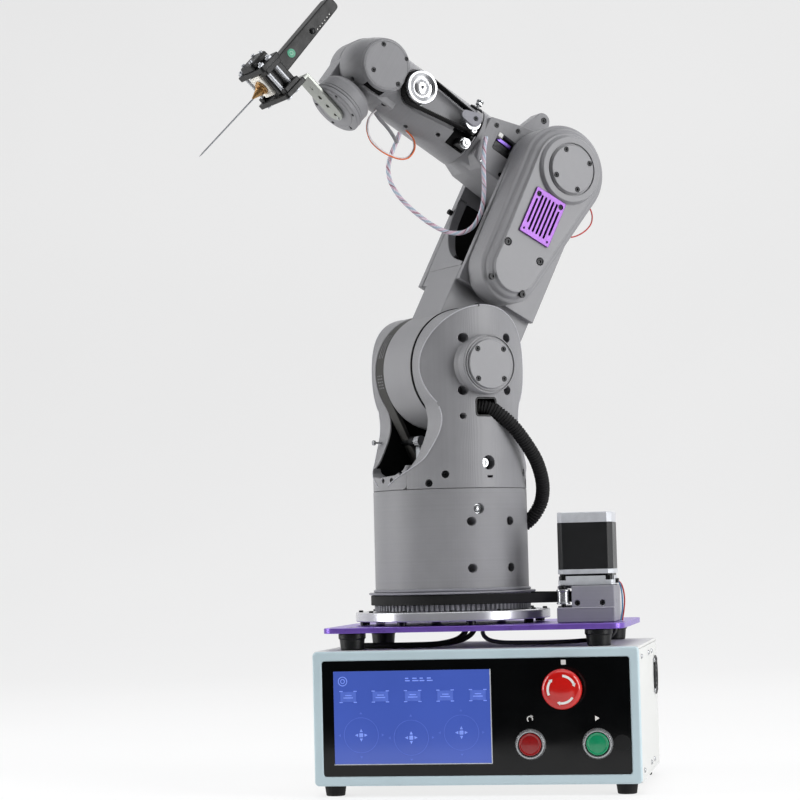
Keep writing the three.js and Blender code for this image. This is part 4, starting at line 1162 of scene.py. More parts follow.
def build_turret():
    housing = chamfered_column(203.5, 309)
    cuts = [drill((u, on_column(u) + 0.4, z), (0, 1, 0), 4.6, 12, 0.6) for u, z in HOUSING_HOLES]
    cuts += [drill((-u, -on_column(u) - 0.4, z), (0, -1, 0), 4.6, 12, 0.6) for u, z in HOUSING_HOLES]
    bright_u, bright_z = 12, 287.6
    bright_n = on_column(bright_u)
    cuts.append(drill((bright_u, bright_n + 0.2, bright_z), (0, 1, 0), 5.4, 4.2, 0.5))
    cuts.append(swept(smooth_route(HOSE_POINTS, 60), 8.0, 20))
    cuts.append(clipped(block(-79, 79, -36, 29, 304.5, 312, 0.05, 8), column(300, 320, 76)))
    piece("turret_housing_print", carve([housing], cuts), ARM, "turret", print_up,
          ["turret_housing"])
    skirt = turned([(70, 203.4), (82.4, 203.4), (82.9, 203.9), (82.9, 205.4), (81.2, 206.4), (70, 206.4)],
                   "z", n=160, closed=True)
    piece("turret_skirt", skirt, ARM, "turret", print_dark)
    bright = [button_screw((bright_u, bright_n - 3.8, bright_z), (0, 1, 0), 4.3, 2.6),
              washer((bright_u, bright_n - 4.0, bright_z), (0, 1, 0), 5.0, 2.4, 0.7),
              cap_screw((1, 70, 335), (0, 1, 0), 5.0, 5.6)]
    piece("turret_bright_screws", merged(*bright), ARM, "turret", steel)

    near_cuts = [drill((u, on_column(u) + 0.3, z), (0, 1, 0), r, 13, 0.5) for u, z, r in CHEEK_HOLES]
    near_cuts.append(puck(round_rect(-12.6, 12.6, 382.4, 402.6, 3.6), [(0, 60), (0, 92)]))
    near_cuts.append(block(-5.5, 1, 74, 90, 319.4, 321.8, 0.05, 1.1))
    for u, z in LOW_SCREWS:
        near_cuts.append(drill((u, on_column(u) - 0.6, z), low_direction(u), 3.9, 3.4, 0.3))
    near_cuts.append(swept(smooth_route(HOSE_POINTS, 60), 8.0, 20))
    outline = cheek_outline()
    near = clipped(puck(outline, [(0.8, NEAR), (0, NEAR + 0.8), (0, 86)]), column(FOOT_Z, 520))
    groove = turned([(27.6, 88.6), (29.4, 88.6), (29.4, 93), (27.6, 93)], "y", (0, SHOULDER), 96, True)
    boss = turned([(10, 47), (33.5, 47), (33.5, 76), (31.6, 79), (31, 80), (31, 88.6), (30, 90), (10, 90)],
                  "y", (0, SHOULDER), 96)
    cap = turned([(8, 88), (25.6, 88), (25.9, 91.4), (25, 92.5), (8, 92.7), (1, 92.7)], "y", (0, SHOULDER),
                 96)
    cap_holes = [drill((u, 92.7, SHOULDER + z), (0, 1, 0), 2.9, 3.0, 0.25) for u, z in CAP_GRID]
    near = carve([near, boss, cap], near_cuts + [groove] + cap_holes)
    piece("shoulder_cheek_near_print", near, ARM, "turret", print_across,
          ["shoulder_cheek_near"])
    far_cuts = [drill((-u, -on_column(u) - 0.3, z), (0, -1, 0), r, 10, 0.5) for u, z, r in CHEEK_HOLES[:5]]
    far = clipped(puck(outline, [(0, -86), (0, FAR - 0.8), (0.8, FAR)]), column(FOOT_Z, 520))
    far_boss = turned([(10, -79), (31.6, -79), (31, -80), (31, -84), (30, -85), (10, -85)], "y",
                      (0, SHOULDER), 96)
    far = carve([far, far_boss], far_cuts)
    piece("shoulder_cheek_far_print", far, ARM, "turret", print_across, ["shoulder_cheek_far"])
    # lip between the cheeks, front and back, with a hollow top edge
    lips = []
    for side in (1, -1):
        top = [(NEAR - 0.2, 336), (33, 329), (22, 324.5), (-4, 322.6), (-29, 324.5), (-40, 329),
               (FAR + 0.2, 336), (FAR + 0.2, FOOT_Z), (NEAR - 0.2, FOOT_Z)]
        edge = fillet(top, 6, 4)
        u0, u1 = sorted((side * 60, side * 84))
        bar = puck(edge, [(0, u0), (0, u1)], "x")
        bar = clipped(bar, column(FOOT_Z, 520, TURRET_R - 0.2))
        holes = [drill((side * on_column(n), n, z), outward(side, n), r, 4, 0.4)
                 for n, z, r in ((2, 319.5, 2.6), (17, 319.5, 2.6), (30, 326, 2.2))]
        lips.append(carve([bar], holes))
    piece("turret_lips", merged(*lips), ARM, "turret", print_up)
    # painted shade: a dark floor in the cradle and dark sheets on the inner faces of both cheeks, where shade
    # falls between them
    floor = clipped(block(-79, 79, -43, 36, 305.4, 309.9, 0.3, 8), column(300, 320, 75.5))
    shade_sheets = [clipped(puck(cheek_outline(-1.4), [(0, n), (0, n + 0.5)]), block(-66, 66, -60, 60, 311, 396))
              for n in (NEAR - 0.55, FAR + 0.05)]
    piece("cradle_painted_shade", merged(floor, *shade_sheets), ARM, "turret", painted_shade)
    # a thin rounded bead along each cheek edge in a paler grey: a painted highlight line along the edge
    for name, side in (("near", 1), ("far", -1)):
        edge = [Vector((u, side * (on_column(u) - 0.1), z)) for u,
                z in finely(cheek_outline(-0.3), 1.5) if z > 312]
        piece(f"cheek_edge_highlight_{name}", swept(edge, 0.65, 8), ARM, "turret", print_pale)
    screws = [cap_screw((u, 89.6, SHOULDER + z), (0, 1, 0), 2.5, 2.4) for u, z in CAP_GRID]
    for u, z in LOW_SCREWS:
        d = low_direction(u)
        screws.append(cap_screw((d[0] * 78.2, d[1] * 78.2, z), d, 3.1, 2.2))
    screws.append(cap_screw((6, on_column(6) - 2.6, 496.8), (0, 0.4, 1), 2.6, 2.6))
    for side in (1, -1):
        for n in (2, 17):
            screws.append(cap_screw((side * (on_column(n) - 3.4), n, 319.5), outward(side, n), 2.2, 2.0))
    piece("turret_screws", merged(*screws), ARM, "turret", black_screw)
    stop = [pin((43, -58, 362.6), (58.5, -58, 362.6), 1.1), rod("x", (-58, 362.6), 57.6, 60.2, 2.9, rim=0.5,
                                                                n=24)]
    piece("stop_screw", merged(*stop), ARM, "turret", steel)
    port = carve([puck(round_rect(-12.3, 12.3, 382.7, 402.3, 3.4), soft(61, 80.2, 0.5))],
                 [puck(round_rect(-10.8, 10.8, 384.2, 400.8, 2.4), [(0, 62.4), (0, 84)])])
    piece("hose_port", port, ARM, "turret", black_plastic)


def build_shoulder_drive():
    z = 338.7
    place = ARM @ Matrix.Translation((0, 0, z))
    stepper("shoulder_motor", place, 56.4, -22, 34, "turret", laminated_across,
            ["shoulder_motor"])
    shaft = rod("y", (0, z), -41.5, -22, 3.2, rim=0.3, n=24)
    piece("shoulder_motor_shaft", shaft, ARM, "turret", steel)
    wheel = [gear((0, z), 13.4, 14.8, 30, -38.8, -26.2, "y"), rod("y", (0, z), -40, -38.7, 15, rim=0.3),
             rod("y", (0, z), -26.3, -25, 15, rim=0.3)]
    piece("shoulder_motor_pulley_teeth", merged(*wheel), ARM, "shoulder_pinion", brushed,
          ["shoulder_motor_pulley"])
    wide = stadium(0, SHOULDER, 62.2, 0, z, 18.6, 72)
    narrow = stadium(0, SHOULDER, 57.3, 0, z, 15.3, 72)
    piece("shoulder_belt", loop(wide, narrow, -43, -26.8, "y", 0.4), ARM, "turret", belt_grey)
    marks = []
    for n in (-38.8, -34.9, -31):
        strip = arc(0, SHOULDER, 62.45, 14, 40, 24) + arc(0, SHOULDER, 62, 40, 14, 24)
        marks.append(puck(strip, [(0, n - 0.4), (0, n + 0.4)]))
        for k in range(5):
            a = -4 - 3.0 * k
            spot = arc(0, SHOULDER, 62.45, a, a + 1.2, 2) + arc(0, SHOULDER, 62, a + 1.2, a, 2)
            marks.append(puck(spot, [(0, n - 0.7), (0, n + 0.7)]))
    piece("belt_marks", merged(*marks), ARM, "turret", sleeve_grey)
    u, z = 31, 362
    roller = [gear((u, z), 4.4, 5.2, 12, -14, -4, "y"), rod("y", (u, z), -4, -3, 5.4, rim=0.3, n=40)]
    piece("tension_roller", merged(*roller), ARM, "turret", brushed)
    collars = [rod("y", (u, z), -43.8, -23, 3.2, rim=0.3, n=24),
               rod("y", (u, z), -23.2, -14, 5.8, rim=0.6, n=32)]
    piece("tension_roller_collars", merged(*collars), ARM, "turret", black_screw)
    # painted shade: a dark ring filling the narrow gap between the drum's near end and the cheek
    gap = turned([(58, 34.6), (63.2, 34.6), (63.2, 36.95), (58, 36.95)], "y", (0, SHOULDER), 120, True)
    piece("drum_gap_shade", gap, ARM, "upper_arm", painted_shade)


# ---- upper arm --------------------------------------------------------------------------------
def build_upper_arm():
    drum = turned([(8, -26), (61.8, -26), (63, -24.8), (63, 35.2), (61.8, 36.4), (8, 36.4)], "y", n=144)
    wheel = turned([(8, -42.5), (56.4, -42.5), (57, -41.9), (57, -25), (8, -25)], "y", n=120)
    neck = block(-50, 50, -26, 36.4, 20, 84, 1.0, 1.5)
    deck = block(-50, 50, -35, 37.8, 80, 98, 1.2, 2.0)
    wall = block(-50, -44, -35, 37.8, 90, 156, 0.8, 1.5)
    holes = [drill((p, 37.8, 89), (0, 1, 0), 2.2, 5) for p in (-40, 40)]
    holes += [drill((-50, n, 128), (-1, 0, 0), 2.4, 4) for n in (-22, 24)]
    holes.append(block(-56, -40, -14, 16, 118, 146, 0.05, 4))
    core = carve([drum, wheel, neck, deck, wall, front_web()], holes)
    piece("upper_arm_core_print", core, UPPER, "upper_arm", print_across, ["upper_arm_core"])

    side, foot = 50, 80.4
    outline = arc(0, UPPER_ARM, side, 0, 180, 56) + [(-side, 112), (-side, foot), (side, foot), (side, 112)]
    far_spots = [(-30, 110), (30, 110), (-30, 160), (30, 160)]
    far_spots += [(38 * math.cos(a), UPPER_ARM + 38 * math.sin(a)) for a in (0.6, 2.2, 3.8, 5.4)]
    far_cuts = [drill((p, -45, q), (0, -1, 0), 2.8, 3.4) for p, q in far_spots]
    far = carve([puck(outline, soft(-45, -35.5, 1.2))], far_cuts)
    piece("upper_arm_far_plate_print", far, UPPER, "upper_arm", print_across,
          ["upper_arm_far_plate"])
    near = puck(outline, soft(38.3, 45, 0.8))
    piece("upper_arm_near_plate_print", near, UPPER, "upper_arm", print_across,
          ["upper_arm_near_plate"])
    screws = [cap_screw((p, -42.4, q), (0, -1, 0), 2.5, 2.6) for p, q in far_spots]
    screws += [cap_screw((p, 35.2, 89), (0, 1, 0), 2, 2) for p in (-40, 40)]
    screws += [cap_screw((-48.6, n, 128), (-1, 0, 0), 2.2, 2) for n in (-22, 24)]
    screws += [cap_screw((50, -40, 172), (1, 0, 0), 3.0, 5.0), cap_screw((45, 6, 111.5), (0, 0, 1), 2.6, 3.2)]
    # painted shade: dark sheets on the inner faces of the far plate, the wall and the deck, inside the arm
    # where shade falls
    shade_sheets = [puck(round_rect(-43.5, 39.5, 98.4, 188, 2), [(0, -35.3), (0, -34.9)]),
              block(-43.9, -43.3, -34.5, 37.5, 98.4, 155, 0.1),
              block(-43.5, 39.8, -34.5, 37.5, 98.1, 98.5, 0.1)]
    piece("upper_arm_painted_shade", merged(*shade_sheets), UPPER, "upper_arm", painted_shade)

    # cover: wide foot, two rounded ledges, boss and cap
    def cover(inset_by):
        return stadium(12, 108, 36 - inset_by, 0, UPPER_ARM, 50 - inset_by, 64)

    levels = [(0.6, 45.3), (0, 45.9), (0, 71.2), (0.5, 73), (1.8, 74.2), (3.4, 74.7), (4.2, 75.4), (4.8, 77),
              (5.2, 78.6), (6.2, 80), (7.8, 80.8), (9.2, 81.3), (9.8, 82), (10.1, 83.6), (10.8, 84.6),
              (12, 85)]
    base = rings_shell([[(a, h, b) for a, b in cover(d)] for d, h in levels])
    boss = turned([(10, 83), (38.6, 83), (37.2, 85.2), (36.2, 86.2), (35.6, 88.6), (34.4, 90), (10, 90)], "y",
                  (0, UPPER_ARM), 96)
    cap = turned([(8, 88), (25.7, 88), (26, 91.4), (25.2, 92.6), (8, 92.8), (1, 92.8)], "y", (0, UPPER_ARM),
                 96)
    groove = turned([(26.8, 88.4), (28.4, 88.4), (28.4, 93.4), (26.8, 93.4)], "y", (0, UPPER_ARM), 96, True)
    spots = [(33, 128), (-10, 128), (33.6, 86), (-6.6, 86.6)]
    cap_spots = rotated_spots(22, (69.5, 161.7, -19.0, 258.0))
    cuts = [drill((p, 85, q), (0, 1, 0), 4.3, 4.2, 0.4) for p, q in spots]
    cuts += [drill((p, 92.8, UPPER_ARM + q), (0, 1, 0), 2.9, 3.2, 0.25) for p, q in cap_spots]
    cuts.append(puck(round_rect(-10.5, 26.5, 146, 197, 1), [(0, 82), (0, 90)]))
    shell = carve([base, boss, cap], cuts + [groove])
    piece("elbow_cover_print", shell, UPPER, "upper_arm", print_across, ["elbow_cover"])
    screws += [cap_screw((p, 81.4, q), (0, 1, 0), 3.5, 3.2) for p, q in spots]
    screws += [cap_screw((p, 89.8, UPPER_ARM + q), (0, 1, 0), 2.5, 2.5) for p, q in cap_spots]
    piece("upper_arm_screws", merged(*screws), UPPER, "upper_arm", black_screw)

    slots = []
    for i in range(7):
        trim = 12 if i in (0, 6) else 5.6
        p = -6.5 + 4.85 * i
        slots.append(puck(round_rect(p - 1.15, p + 1.15, 145 + trim, 198 - trim, 1.1, 4), [(0, 84), (0, 90)]))
    slots += [drill((p, 87.5, 191.6), (0, 1, 0), 2.7, 8, 0.3) for p in (-6.6, 22.6)]
    slots += [drill((p, 87.5, 149.6), (0, 1, 0), 1.1, 8, 0.2, 20) for p in (-7.6, 23.6)]
    plate = puck(round_rect(-11.5, 27.5, 145, 198, 1.2, 4), soft(84.6, 87.5, 0.5))
    piece("vent_grille_plate", carve([plate], slots), UPPER, "upper_arm", purple_grille,
          ["vent_grille"])
    # painted shade: a dark sheet behind the grille slots
    slot_shade = block(-10, 26, 82.2, 83.4, 146.5, 196.5, 0.2)
    piece("grille_slot_shade", slot_shade, UPPER, "upper_arm", painted_shade)
    heads = [cap_screw((p, 84.2, 191.6), (0, 1, 0), 2.4, 1.8) for p in (-6.6, 22.6)]
    piece("grille_screws", merged(*heads), UPPER, "upper_arm", black_screw)

    place = UPPER @ Matrix.Translation((0, 0, 126))
    stepper("elbow_motor", place, 42.3, -24, 26, "upper_arm", laminated_across,
            ["elbow_motor"], 3.5)
    extra = [rod("y", (0, 126), 25, 35, 2.5, rim=0.2, n=20), rod("y", (0, 126), 26, 34, 7, rim=0.3, n=40)]
    piece("elbow_motor_shaft", merged(*extra), UPPER, "upper_arm", steel)
    plug = carve([block(-27.5, -21.5, -12, 12, 140, 146, 0.5)],
                 [block(-28, -22.5, -10.5, 10.5, 141, 147, 0.05)])
    piece("elbow_motor_plug", plug, UPPER, "upper_arm", white_print)


def rotated_spots(r, angles):
    """Screw places round a cap, given as angles in the upright plane of the arm."""
    lean = math.radians(LEAN)
    out = []
    for a in angles:
        u, z = r * math.cos(math.radians(a)), r * math.sin(math.radians(a))
        out.append((u * math.cos(lean) + z * math.sin(lean), -u * math.sin(lean) + z * math.cos(lean)))
    return out


def front_web():
    """The web that curves from the far plate down to the deck, drawn across the arm."""
    curve = smooth_route([(35, 102, 0), (8, 111, 0), (-12, 126, 0), (-27.5, 146, 0), (-33, 162, 0),
                          (-34.4, 176, 0), (-35, 190, 0)], 30)
    outline = [(-35, 97), (35, 97)] + [(point.x, point.y) for point in curve]
    return puck(outline, soft(40, 50, 0.8), "x")


# ---- elbow and forearm --------------------------------------------------------------------------
def build_elbow():
    barrel = turned([(4, 8), (34, 8), (34, 88.6), (33.4, 90.2), (32.6, 90.7), (4, 90.7)], "x", n=120)
    hub = turned([(8, -34.7), (41, -34.7), (42, -33.7), (42, 36.2), (41, 37.3), (8, 37.3)], "y", n=120)
    bridge = puck(fillet([(4, -36), (70, -33), (86, -26), (86, 22), (50, 34), (8, 46)], 3),
                  soft(-30, 34, 1.4))
    lug = puck(stadium(26, 30, 20, 25, 59.5, 9, 20), soft(4, 22, 1.2))
    near_spots = [(76, 17), (51, 26), (47, -27.5), (20, -26)]
    far_spots = [(76, 15), (57, 24), (70, -22), (20, -26)]
    cuts = [puck(round_rect(45, 70, -8, 13, 2.5), [(0, 20), (0, 44)]),
            drill((24, 22, 60.5), (0, 1, 0), 3.4, 5, 0.4)]
    cuts += [drill((v, 34, w), (0, 1, 0), 2.7, 3.2, 0.3) for v, w in near_spots + [(73, -27)]]
    cuts += [drill((v, -30, w), (0, -1, 0), 2.7, 3.2, 0.3) for v, w in far_spots]
    block_shell = carve([barrel, hub, bridge, lug], cuts)
    piece("elbow_block_print", block_shell, FORE, "elbow", print_fore, ["elbow_block"])
    screws = [cap_screw((v, 31.2, w), (0, 1, 0), 2.3, 2.6) for v, w in near_spots]
    screws += [cap_screw((v, -31.2, w), (0, -1, 0), 2.3, 2.0) for v, w in far_spots]
    screws.append(cap_screw((24, 17.6, 60.5), (0, 1, 0), 3, 3.4))
    piece("elbow_screws", merged(*screws), FORE, "elbow", black_screw)
    piece("elbow_small_screw", cap_screw((73, 31, -27), (0, 1, 0), 1.8, 2.4), FORE, "elbow", steel)
    motor = [block(46.2, 68.8, 22.2, 28, -6.5, 11.8, 0.8, 2), block(46.2, 68.8, 22.2, 31, -6.5, -1.5, 0.6, 1)]
    piece("roll_motor_face", merged(*motor), FORE, "elbow", black_screw)
    # painted highlight: a purple strip on the motor face, standing in for a glint
    glint = block(48, 67, 27.6, 29.4, 5.2, 9.2, 0.4, 1)
    piece("roll_motor_glint", glint, FORE, "elbow", purple)
    plug = block(64, 69.8, 27, 35.2, 7.6, 12.6, 0.6, 1)
    piece("roll_motor_plug", plug, FORE, "elbow", white_print)


FORE_SHELL_W = -3  # the forearm tube hangs a little below the elbow axis
WRIST_CAP = (219.5, -4.5)
CAP_SCREWS = [(14.3, 12.8), (-15.9, 14.9), (-20.1, -14.7), (11, -17.7)]
SIDE_SCREWS = [(195.3, 302), (158.9, 287), (127.2, 313.7), (205, 218), (140, 218)]


def build_forearm():
    shell = turned([(4, 91), (32.8, 91), (34, 92.2), (34, 196), (30, 203), (4, 205)], "x", (0, FORE_SHELL_W),
                   120)
    collar = turned([(4, 91), (32.8, 91), (34, 92.2), (34, 100), (33, 101), (4, 101)], "x", n=120)
    drum = turned([(6, -3.5), (34.4, -3.5), (34.8, -3.1), (34.5, 4), (33, 16), (30.5, 28), (28.7, 34),
                   (28.2, 36), (6, 36)], "y", (FOREARM, FORE_SHELL_W), 120)
    neck = block(185, 212, -3.5, 24, -34, 22, 1.2, 2)
    cap = turned([(5, 34), (27, 34), (27.2, 34.6), (26.9, 38.6), (26, 39.7), (5, 40), (1, 40)], "y",
                 WRIST_CAP, 96)
    step = turned([(24.6, 39.4), (25.4, 39.4), (25.4, 41), (24.6, 41)], "y", WRIST_CAP, 96, True)
    pocket = puck(stadium(105, 1, 16, 172.5, -2, 22, 40), [(0, 27), (0, 52)])
    room = rod("y", (FOREARM, 0), -60, -3.5, 36, rim=0.01, n=96)
    notch = puck(round_rect(206, 228, -44, -24.6, 1.2, 3), [(0, 24.4), (0, 34.2)])
    cuts = [pocket, room, notch, step]
    cap_spots = [(FOREARM + v, w) for v, w in CAP_SCREWS]
    cuts += [drill((v, 40, w), (0, 1, 0), 2.7, 3.2, 0.25) for v, w in cap_spots]
    for v, angle in SIDE_SCREWS:
        a = math.radians(angle)
        d = (0, math.cos(a), math.sin(a))
        cuts.append(drill((v, 34 * d[1], FORE_SHELL_W + 34 * d[2]), d, 2.5, 5, 0.35))
    low = Vector((17.9, 0, -25.3)).normalized()
    cuts.append(drill(Vector((FOREARM, 17, FORE_SHELL_W)) + low * 32.8, low, 2.4, 4, 0.35))
    cuts.append(puck(round_rect(93, 116, -30, -8, 2.5), [(0, 22), (0, 40)]))
    cuts.append(block(93, 109, 10, 26, 22, 38, 0.05, 2))
    body = carve([shell, collar, drum, neck], [room])
    body = carve([body, cap], cuts)
    piece("forearm_print", body, FORE, "forearm", print_fore, ["forearm_shell"])
    screws = [cap_screw((v, 36.9, w), (0, 1, 0), 2.3, 2.6) for v, w in cap_spots]
    piece("forearm_screws", merged(*screws), FORE, "forearm", black_screw)
    # painted shade: dark floors at the bottom of the cut-out pockets and the notch
    inner = [block(94, 115.5, 21, 23, -29, -9, 0.4, 2), block(94, 108, 21, 23, 11, 25, 0.4, 2),
             puck(round_rect(207, 227, -31, -25.4, 0.8, 3), [(0, 24), (0, 31)])]
    piece("tensioner_pocket_shade", merged(*inner), FORE, "forearm", painted_shade)
    build_wrist_belt()
    # painted shade: a dark ring in the gap between the elbow barrel and the forearm collar
    seam = turned([(28, 90.2), (33.3, 90.2), (33.5, 91), (33.3, 91.8), (28, 91.8)], "x", n=96, closed=True)
    piece("forearm_seam_shade", seam, FORE, "forearm", painted_shade)
    bolts = [threaded((99.5, 20, 22), (99.5, 20, 36), 1.8), hex_nut((99.5, 20, 30), (0, 0, 1), 3.8, 2.8),
             rod("z", (99.5, 20), 33.6, 35.4, 4, rim=0.3, n=40),
             threaded((100, 24, -22.5), (100, 40, -22.5), 2.0),
             hex_nut((100, 35.6, -22.5), (0, 1, 0), 5.2, 3.6),
             washer((100, 34.6, -22.5), (0, 1, 0), 6, 2.2, 0.9),
             cap_screw((99.6, 39, -7.4), (0, 1, 0), 3.0, 3.4)]
    piece("tensioner_bolts", merged(*bolts), FORE, "forearm", steel)
    yoke = [rod("z", (99.5, 20), 12 + 2.1 * k, 13.6 + 2.1 * k, 4.6, rim=0.4, n=32) for k in range(4)]
    yoke += [rod("z", (99.5, 20), 11, 22, 3.6, rim=0.4, n=32), block(95, 107, 24, 35.5, -27, -18, 0.6, 1.5),
             block(95, 104, 24, 36, -10, -2.5, 0.6, 1.5)]
    piece("tensioner_yoke", merged(*yoke), FORE, "forearm", black_plastic)


def build_wrist_belt():
    """The toothed belt in the flat pocket, its two pulleys and the plate over the small one."""
    wide = stadium(*WRIST_WHEEL, 19.6, 105, 1, 10.6, 56)
    narrow = stadium(*WRIST_WHEEL, 17.5, 105, 1, 8.5, 56)
    piece("wrist_belt_loop", toothed_loop(wide, narrow, 29.5, 39.5), FORE, "forearm", black_rubber,
          ["wrist_belt"])
    wheel = [gear(WRIST_WHEEL, 15.9, 17, 40, 28.6, 40, "y"), rod("y", WRIST_WHEEL, 27.6, 28.7, 17.4, rim=0.3,
                                                                 n=80)]
    piece("wrist_pulley_teeth", merged(*wheel), FORE, "wrist_pulley", brushed)
    face = turned([(3, 39.9), (17.2, 39.9), (17.6, 40.4), (17.6, 44.2), (17, 44.9), (15.2, 44.9),
                   (14.6, 44.3), (12, 43), (9.8, 42.5), (9, 42.5), (8.4, 43.2), (5.6, 44.4), (1, 44.4)], "y",
                  WRIST_WHEEL, 96)
    crescent = arc(*WRIST_WHEEL, 13.2, 130, 205, 20) + arc(*WRIST_WHEEL, 10.4, 205, 130, 20)
    bore = [puck(crescent, [(0, 41.6), (0, 47)]), drill((WRIST_WHEEL[0], 44.4, WRIST_WHEEL[1]), (0, 1, 0),
                                                        1.7, 4, 0.3, 24)]
    for k in range(12):
        turn = math.radians(30 * k + 10)
        a, b = WRIST_WHEEL[0] + 16.2 * math.cos(turn), WRIST_WHEEL[1] + 16.2 * math.sin(turn)
        bore.append(rod("y", (a, b), 44.4, 46, 0.55, rim=0.1, n=12))
    piece("wrist_pulley_face", carve([face], bore), FORE, "wrist_pulley", pulley_turned,
          ["wrist_belt_pulley"])
    small = [gear((105, 1), 7.4, 8.3, 20, 27.5, 40.4, "y"),
             rod("y", (105, 1), 40.2, 41.4, 9.4, rim=0.3, n=56)]
    piece("wrist_motor_pulley", merged(*small), FORE, "forearm", brushed)
    plate = carve([puck(stadium(105, 3, 7.6, 117, 1.5, 5, 24), soft(41.5, 44.2, 0.6))],
                  [drill((105, 44.2, 4), (0, 1, 0), 2.6, 2, 0.4)])
    piece("tensioner_plate", plate, FORE, "forearm", print_dark)
    piece("tensioner_plate_screw", cap_screw((105, 42.4, 4), (0, 1, 0), 2.2, 1.6), FORE, "forearm",
          black_screw)


def toothed_loop(wide, narrow, h0, h1):
    """A belt with teeth on its inner face."""
    count = len(narrow)
    run = [0.0]
    for i in range(count):
        run.append(run[-1] + math.dist(narrow[i], narrow[(i + 1) % count]))
    steps = 2 * round(run[-1] / 2.1) * 2
    outer, inner = [], []
    j = 0
    for i in range(steps):
        want = run[-1] * i / steps
        while run[j + 1] < want:
            j += 1
        t = (want - run[j]) / max(run[j + 1] - run[j], 1e-9)
        a, b = Vector(narrow[j]).lerp(Vector(narrow[(j + 1) % count]), t), Vector(wide[j]).lerp(
            Vector(wide[(j + 1) % count]), t)
        way = (b - a).normalized()
        inner.append(tuple(a + way * (0.0 if i % 4 in (0, 1) else 0.9)))
        outer.append(tuple(b - way * (0.0 if i % 4 in (0, 1) else 0.45)))
    return loop(outer, inner, h0, h1, "y", 0.2)


# ---- wrist and tool -------------------------------------------------------------------------------
def build_wrist():
    drum = turned([(6, -33), (32.4, -33), (34, -31.4), (34, -11), (33.2, -10.2), (33.2, -9.4), (34, -8.6),
                   (34, -4.6), (33.2, -3.8), (6, -3.8)], "y", n=120)
    neck = puck(fillet([(0, -24), (42, -18), (42, 27), (0, 32)], 1.0), soft(-30, -3.8, 1.4))
    housing = turned([(4, 38), (23.4, 38), (24, 38.4), (28.6, 44), (29, 45), (29, 55), (28.3, 55.7),
                      (4, 55.7)], "x", n=96)
    cuts = [drill((0, -33, 0), (0, -1, 0), 4.6, 4, 0.6)]
    spots = [(22 * math.cos(a), 22 * math.sin(a)) for a in (0.8, 2.4, 3.9, 5.5)]
    cuts += [drill((s, -33, w), (0, -1, 0), 2.6, 3.2, 0.3) for s, w in spots]
    piece("wrist_print", carve([drum, neck, housing], cuts), WRIST, "wrist", print_wrist,
          ["wrist_body"])
    screws = [cap_screw((s, -30.4, w), (0, -1, 0), 2.2, 2.3) for s, w in spots]
    piece("wrist_screws", merged(*screws), WRIST, "wrist", black_screw)
    disc = turned([(4, 56), (29.2, 56), (30, 56.8), (30, 58.6), (29.3, 59.1), (29.3, 60.1), (30, 60.6),
                   (30, 63.6), (29.2, 64.5), (24, 64.5), (23.6, 64.1), (22.8, 64.1), (22.4, 64.5),
                   (4, 64.5)], "x", n=120)
    turns = [math.radians(60 * i + 30) for i in range(6)]
    rim = [drill((64.5, 26 * math.cos(a), 26 * math.sin(a)), (1, 0, 0), 1.9, 3, 0.3, 24) for a in turns]
    piece("tool_flange_print", carve([disc], rim), WRIST, "tool", print_wrist, ["tool_flange"])
    heads = [cap_screw((62.4, 26 * math.cos(a), 26 * math.sin(a)), (1, 0, 0), 1.6, 1.8) for a in turns]
    piece("flange_screws", merged(*heads), WRIST, "tool", black_screw)


def handle_low(s):
    """The lower edge of the handle, which leans outwards towards its free end."""
    return 64.5 + (92 - s) * 7.6 / 108


